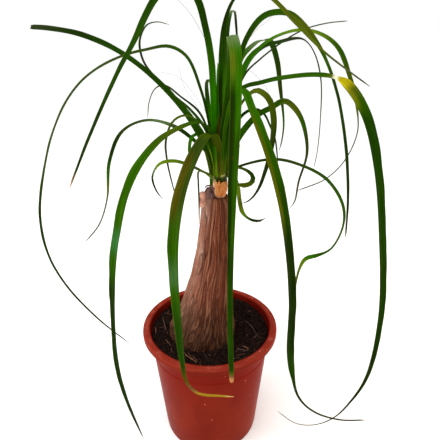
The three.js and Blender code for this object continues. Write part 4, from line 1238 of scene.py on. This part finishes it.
def stub(middle, rows, sides, rough, ragged, seed, tilt=0.0, cut=None):
    """A short broken stump: rings of (radius, height) that lean to the right by tilt, with a ragged top.
    A cut is the way that its flat face looks, and the face's distance from a centre. Marks rim and pits."""
    shape = Shape()
    rings, rims, pits = [], [], []
    low, top = rows[0][1], rows[-1][1]
    for radius, height in rows:
        ring = []
        for point in circle(radius, height, sides):
            bumps = noise.noise(Vector((point.x / 2.6, point.y / 2.6, height / 5)) + Vector((seed, 0, 0)))
            jag = noise.noise(Vector((point.x / 1.3, point.y / 1.3, seed)))
            out = Vector((point.x, point.y, 0)).normalized()
            edge = smooth(height, top - 4, top)
            moved = point + out * rough * bumps + Vector((0, 0, ragged * 2 * jag * edge))
            if cut:
                away, depth, centre = cut
                beyond = (moved - centre).dot(away) - depth
                moved -= away * max(0.0, beyond) * 0.85
                rim = smooth(beyond, -1.2, -0.1) * (1 - smooth(beyond, 0.1, 1.3))
            else:
                rim = max(1 - smooth(height, low + 3.8, low + 7), smooth(-out.x, 0.55, 0.9))
            rims.append(rim)
            pits.append(smooth(-bumps, 0.3, 0.55) * lerp(0.35, 0.8, edge))
            lean = Vector((tilt, 0, 0)) * (height - low)
            ring.append(moved + Vector(middle) + lean)
        rings.append(ring)
    for marks in (rims, pits):
        marks.extend([marks[0], marks[-1]])
    shape.add(*skin(rings), rim=rims, pit=pits)
    return shape


def pale_stub():
    """The orange stub of the lost top: broken ragged above, narrowing to a rounded foot on the trunk."""
    rows = [(3, 250), (3.2, 253.6), (3.9, 254.2), (4.7, 255.3), (5.3, 256.8), (5.8, 258.8), (6, 261),
            (6.1, 264), (6.1, 266), (6.1, STUB_TOP), (5.7, STUB_TOP + 0.4), (4.4, STUB_TOP - 0.6),
            (0.8, STUB_TOP - 0.9)]
    return stub(STUB_AT + Vector((0.2, -1.6, 0)), rows, 84, rough=0.5, ragged=1.6, seed=3.0)


def dead_stub():
    """A ragged dead side shoot between the knob and the stub."""
    rows = [(5.6, 243), (6.1, 249), (5.9, 252.4), (5.3, 255.4), (4.6, 258.2), (3.7, 260.4), (2.4, 262),
            (0.7, 262.6)]
    return stub((0.4, -1.6, 0), rows, 60, tilt=0.08, rough=1.3, ragged=0.8, seed=6.0)


def dead_sliver():
    """A grey hooked sliver that stands off the dead side shoot."""
    hook = through([Vector((4.8, -5, 261.4)), Vector((3.4, -5.4, 264)), Vector((0.8, -5.6, 265.6)),
                    Vector((-1.6, -5.6, 265)), Vector((-2.6, -5.6, 263.2))], 4)
    rings = []
    for index, point in enumerate(hook):
        half = lerp(1.15, 0.35, index / (len(hook) - 1))
        up = Vector((0, -1, 0)).cross(ahead_at(hook, index)).normalized()
        rings.append([point + up * half * math.cos(angle) + Vector((0, 0.5, 0)) * math.sin(angle)
                      for angle in (2 * math.pi * side / 12 for side in range(12))])
    shape = Shape()
    points, faces = skin(rings)
    shape.add(points, faces, rim=[0.0] * len(points), pit=[0.0] * len(points))
    return shape


def salmon_knob():
    """A side shoot cut off smoothly, with a darker rim."""
    rows = [(3, 246), (3.7, 248.6), (4.1, 251), (4.1, 253.6), (3.9, 256), (3.4, 257.8), (2.2, 259),
            (0.6, 259.4)]
    cut = (Vector((-0.3, -0.9, 0.35)).normalized(), 3, Vector((0, 0, 254)))
    return stub((-4.4, -3.4, 0), rows, 54, cut=cut, rough=0.35, ragged=0.3, seed=8.0)


piece("pale_stub", pale_stub(), PALE_CUT)
piece("dead_stub", dead_stub(), DEAD_WOOD)
piece("dead_sliver", dead_sliver(), DEAD_WOOD)
piece("salmon_knob", salmon_knob(), SALMON_CUT)


# Soil
def soil_height(x, y):
    """The soil's top: it rises to the wall, swells gently and is lumpy all over."""
    swell = math.sin(x / 5.5 + 1.3 * math.cos(y / 7)) * math.cos(y / 6.2 + math.sin(x / 9))
    lumps = 0.9 * noise.noise(Vector((x / 3.2, y / 3.2, 1.5)))
    lumps += 0.6 * noise.noise(Vector((x / 1.4, y / 1.4, 4.5)))
    level = lerp(SOIL_TOP + 0.4, SOIL_EDGE, smooth(math.hypot(x, y), 38, 55))
    return level + 0.8 * swell + lumps


def wall_radius(height):
    """Radius of the pot's outer wall."""
    return lerp(POT_FOOT_RADIUS, POT_MOUTH_RADIUS, height / POT_HEIGHT)


def soil_body():
    """The soil as one closed body: up beside the wall, over its rough top and down the trunk's hole."""
    shape = Shape()
    hole = (BULB_X, 0)
    side = [(wall_radius(height) - POT_WALL - SOIL_GAP, height) for height in (8, 60, RIM_STEP)]
    foot = [(1, POT_FLOOR + 0.3), (wall_radius(POT_FLOOR) - POT_WALL - 4, POT_FLOOR + 0.3)]
    rings = [circle(radius, height, SOIL_SIDES) for radius, height in foot + side]
    outer = circle(RIM_MOUTH - 1.2, SOIL_TOP, SOIL_SIDES)
    inner = circle(SOIL_HOLE, SOIL_TOP, SOIL_SIDES, hole)
    for row in range(SOIL_RINGS + 1):
        share = row / SOIL_RINGS
        ring = []
        for a, b in zip(outer, inner):
            point = a.lerp(b, share)
            point.z = lerp(RIM_STEP + 2, soil_height(point.x, point.y), smooth(share, -0.02, 0.03))
            ring.append(point)
        rings.append(ring)
    rings += [circle(radius, height, SOIL_SIDES, hole) for radius, height in SOIL_HOLE_FOOT]
    shape.add(*skin(rings))
    return shape


def spot_on_soil(chance, low=33.5, high=55.5):
    """A random spot between the trunk and the pot's wall."""
    while True:
        x, y = chance.uniform(-high, high), chance.uniform(-high, high)
        if math.hypot(x, y) < high and math.hypot(x - BULB_X, y) > low:
            return x, y


def lump(middle, size, seed):
    """A small irregular crumb: a ball of faces pushed in and out."""
    ball = bmesh.new()
    bmesh.ops.create_icosphere(ball, subdivisions=2 if size > 1.1 else 1, radius=1)
    points = []
    for vertex in ball.verts:
        push = 1 + 0.45 * noise.noise(vertex.co * 1.3 + Vector((seed, 0, 0)))
        flattened = Vector((vertex.co.x, vertex.co.y, vertex.co.z * CRUMB_FLATNESS))
        points.append(Vector(middle) + flattened * size * push)
    faces = [tuple(vertex.index for vertex in face.verts) for face in ball.faces]
    ball.free()
    return points, faces


def soil_crumbs():
    shape = Shape()
    chance = random.Random(CRUMB_SEED)
    for index in range(CRUMBS):
        x, y = spot_on_soil(chance)
        size = 0.45 + 1.5 * chance.random() ** 3
        shape.add(*lump((x, y, soil_height(x, y) + 0.25 * size), size, index * 1.7))
    return shape


def strand(start, heading, length, width, bend, tone, shape, seed, rise):
    """Adds a dry strand that lies on the soil: a thin bent strip with a little body."""
    steps = 9
    rows = []
    point = Vector(start)
    turn = heading
    for step in range(steps + 1):
        share = step / steps
        side = right_of(turn)
        half = width / 2 * (1 - 0.5 * abs(2 * share - 1) ** 3)
        lifted = point.copy()
        lifted.z = max(point.z, soil_height(point.x, point.y) + 0.25) + rise * math.sin(math.pi * share)
        rows.append([lifted + side * half, lifted + Vector((0, 0, 0.3)), lifted - side * half,
                     lifted - Vector((0, 0, 0.15))])
        point = point + way(turn) * length / steps
        turn += bend / steps + 0.25 * noise.noise(Vector((step / 2, seed, 0)))
    points, faces = skin(rows)
    grain = [(0.4 * (index % 4), index / 4 * length / steps, seed) for index in range(len(points))]
    shape.add(points, faces, tone=[srgb(*tone)] * len(points), grain=grain)


# Straw that stands out on the soil: start, heading, length, bend
LONG_STRANDS = [
    ((-25, -33, 113.5), -58, 22, 0.15), ((-21, -34, 113.4), -59, 18, -0.1), ((-17, -37, 114), -64, 12, 0.2),
    ((-48, 18, 113.2), -80, 26, 0.3), ((-54, 2, 113), -77, 10, -0.3), ((-46, 24, 113), -15, 8, 0.6),
    ((35, 13, 113.2), -63, 24, -0.2), ((24, -29, 113.2), -31, 12, 0.4), ((30, -26, 113.2), -50, 9, 0.4),
    ((-43, -14, 113.2), -66, 12, 0.3),
]


def soil_straw():
    shape = Shape()
    chance = random.Random(STRAW_SEED)
    for index, (start, heading, length, bend) in enumerate(LONG_STRANDS):
        tone = STRAW_TONES[index % 4]
        strand(start, math.radians(heading), length, 0.9, bend, tone, shape, index + 1.0, 0.5)
    for index in range(STRANDS):
        x, y = spot_on_soil(chance, 34, 54)
        strand((x, y, SOIL_TOP), chance.uniform(0, 2 * math.pi), chance.uniform(3, 9),
               chance.uniform(0.4, 0.9), chance.uniform(-1, 1), chance.choice(STRAW_TONES[1:]), shape,
               index + 20.0, 0.3)
    return shape


piece("soil_bed", soil_body(), PEAT, replaces=["soil"])
piece("soil_crumbs", soil_crumbs(), PEAT)
piece("soil_straw", soil_straw(), STRAW)


# Pot
def pot_body():
    """The pot's shell, turned from one profile: up the outside, over the rim and down the inside."""
    shape = Shape()
    under_lip = POT_HEIGHT - RIM_SHEET
    collar = RIM_MOUTH + POT_WALL
    skirt = RIM_RADIUS - RIM_SHEET
    skirt_foot = POT_HEIGHT - RIM_DROP
    profile = rounded([
        (1, 0), (POT_FOOT_RADIUS - 3, 0), (POT_FOOT_RADIUS - 0.4, 0, 1.6),
        (wall_radius(4), 4), (wall_radius(30), 30), (wall_radius(60), 60),
        (wall_radius(POT_LEDGE) + 0.1, POT_LEDGE, 0.5), (wall_radius(POT_LEDGE) - 0.3, POT_LEDGE + 0.8, 0.5),
        (wall_radius(RIM_STEP), RIM_STEP, 1), (collar, RIM_STEP + 2.4, 0.8), (collar, under_lip, 0.8),
        (skirt, under_lip, 0.8), (skirt, skirt_foot), (skirt + 0.3, skirt_foot - 0.1),
        (RIM_RADIUS, skirt_foot, 0.5), (RIM_RADIUS, POT_HEIGHT - 2.6),
        (RIM_RADIUS - 0.2, POT_HEIGHT - 0.1, 1.9), (RIM_RADIUS - 3.4, POT_HEIGHT),
        (RIM_MOUTH + 2.2, POT_HEIGHT - 0.15), (RIM_MOUTH, POT_HEIGHT - 0.4, 1.4),
        (RIM_MOUTH, POT_HEIGHT - 2), (RIM_MOUTH, POT_HEIGHT - 3.4),
        (RIM_MOUTH, RIM_STEP + 2.8, 0.6), (wall_radius(RIM_STEP) - POT_WALL, RIM_STEP + 0.4, 0.6),
        (wall_radius(POT_FLOOR + 3) - POT_WALL, POT_FLOOR + 3, 1),
        (wall_radius(POT_FLOOR) - POT_WALL - 2.4, POT_FLOOR, 1), (1, POT_FLOOR),
    ])
    rings = [circle(point.x, point.y, POT_SIDES) for point in profile]
    points, faces = skin(rings)
    rim_shade_bands, lips = [], []
    for point in points:
        reach = math.hypot(point.x, point.y)
        # Marks: the wall under the rim, where the rim's shade is painted, and the rim's top, which is painted
        # lighter as lit from above and is where the scuffs go
        rim_shade_bands.append(smooth(point.z, POT_LEDGE - 4, POT_LEDGE + 1) * float(reach < collar + 0.5))
        lips.append(smooth(point.z, POT_HEIGHT - 3.2, POT_HEIGHT - 0.4)
                    * smooth(reach, RIM_MOUTH + 0.3, RIM_MOUTH + 2.4))
    shape.add(points, faces, under_lip=rim_shade_bands, lip=lips)
    return shape


def drain_cutter():
    """The rods that cut the drainage holes."""
    shape = Shape()
    for hole in range(DRAIN_HOLES):
        angle = 2 * math.pi * hole / DRAIN_HOLES
        middle = (DRAIN_CIRCLE * math.cos(angle), DRAIN_CIRCLE * math.sin(angle))
        shape.add(*skin([circle(DRAIN_RADIUS, height, 32, middle) for height in (-4, 4)]))
    return in_scene("drain_cutter", mesh_of("drain_cutter", shape.points, shape.faces))


def cut_through(body, cutter):
    """Cuts the cutter out of the body and keeps only the result."""
    cutting = body.modifiers.new("holes", "BOOLEAN")
    cutting.object = cutter
    cutting.solver = "EXACT"
    depsgraph = bpy.context.evaluated_depsgraph_get()
    result = bpy.data.meshes.new_from_object(body.evaluated_get(depsgraph))
    body.modifiers.clear()
    body.data = result
    bpy.data.objects.remove(cutter)


pot_piece = piece("pot_shell", pot_body(), TERRACOTTA, replaces=["pot"], sharp=50)
cut_through(pot_piece, drain_cutter())


# Camera, floor and light
def stage():
    """The camera of the picture, a pale floor, and a white backdrop that lights the shadows softly."""
    camera_data = bpy.data.cameras.new("camera")
    camera_data.lens = CAMERA_LENS
    camera_data.sensor_width = CAMERA_LENS
    camera_data.clip_start = 0.01
    camera = in_scene("camera", camera_data)
    camera.matrix_world = (Matrix.Translation(CAMERA_AT * MM) @ Matrix.Rotation(-CAMERA_RIGHT, 4, "Z")
                           @ Matrix.Rotation(math.pi / 2 - CAMERA_DOWN, 4, "X")
                           @ Matrix.Rotation(CAMERA_ROLL, 4, "Z"))
    bpy.context.scene.camera = camera

    floor_mesh = mesh_of("floor", circle(FLOOR_REACH, 0, 96), [tuple(range(96))])
    floor = in_scene("floor", floor_mesh)
    made, nodes, shader = material("pale floor", Specular_IOR_Level=0.1)
    finish(nodes, shader, srgb(249, 249, 248), 0.9)
    floor_mesh.materials.append(made)

    world = bpy.data.worlds.new("studio")
    world.use_nodes = True
    bpy.context.scene.world = world
    sky = Nodes(world.node_tree)
    backdrop = world.node_tree.nodes["Background"]
    backdrop.inputs["Color"].default_value = (1, 1, 1, 1)
    seen = sky.node("LightPath").outputs["Is Camera Ray"]
    sky.feed(backdrop.inputs["Strength"], sky.spread(seen, 0, 1, 0.3, 1.0))


def softbox(name, at, size, power, target=(0, 0, 0.27), colour=(1, 1, 1)):
    """A soft lamp that faces a target: its place and size in metres, its power in watts."""
    lamp = bpy.data.lights.new(name, "AREA")
    lamp.color = colour
    lamp.shape = "RECTANGLE"
    lamp.size, lamp.size_y = size
    lamp.energy = power
    made = in_scene(name, lamp)
    made.visible_camera = False
    aim = (Vector(target) - Vector(at)).to_track_quat("-Z", "Y")
    made.matrix_world = Matrix.Translation(at) @ aim.to_matrix().to_4x4()


def lights():
    wash = bpy.data.lights.new("wash", "SUN")
    wash.energy = 2.6
    wash.angle = math.radians(120)
    made = in_scene("wash", wash)
    made.rotation_euler = (math.radians(12), math.radians(-10), 0)
    softbox("left_box", (-1.1, -0.25, 0.55), (0.6, 1.3), 8)
    softbox("right_box", (1.15, -0.1, 0.5), (0.5, 1.2), 4)
    softbox("low_left_box", (-0.55, -0.35, 0.12), (0.25, 0.2), 0.5, (0, 0, 0.07))
    softbox("low_right_box", (0.5, 0.02, 0.1), (0.25, 0.18), 1.1, (0, 0, 0.06), (1, 0.6, 0.32))
    softbox("top_box", (-0.25, -0.35, 1.5), (1.0, 1.0), 8)


stage()
lights()
bpy.context.scene.view_settings.view_transform = "Standard"
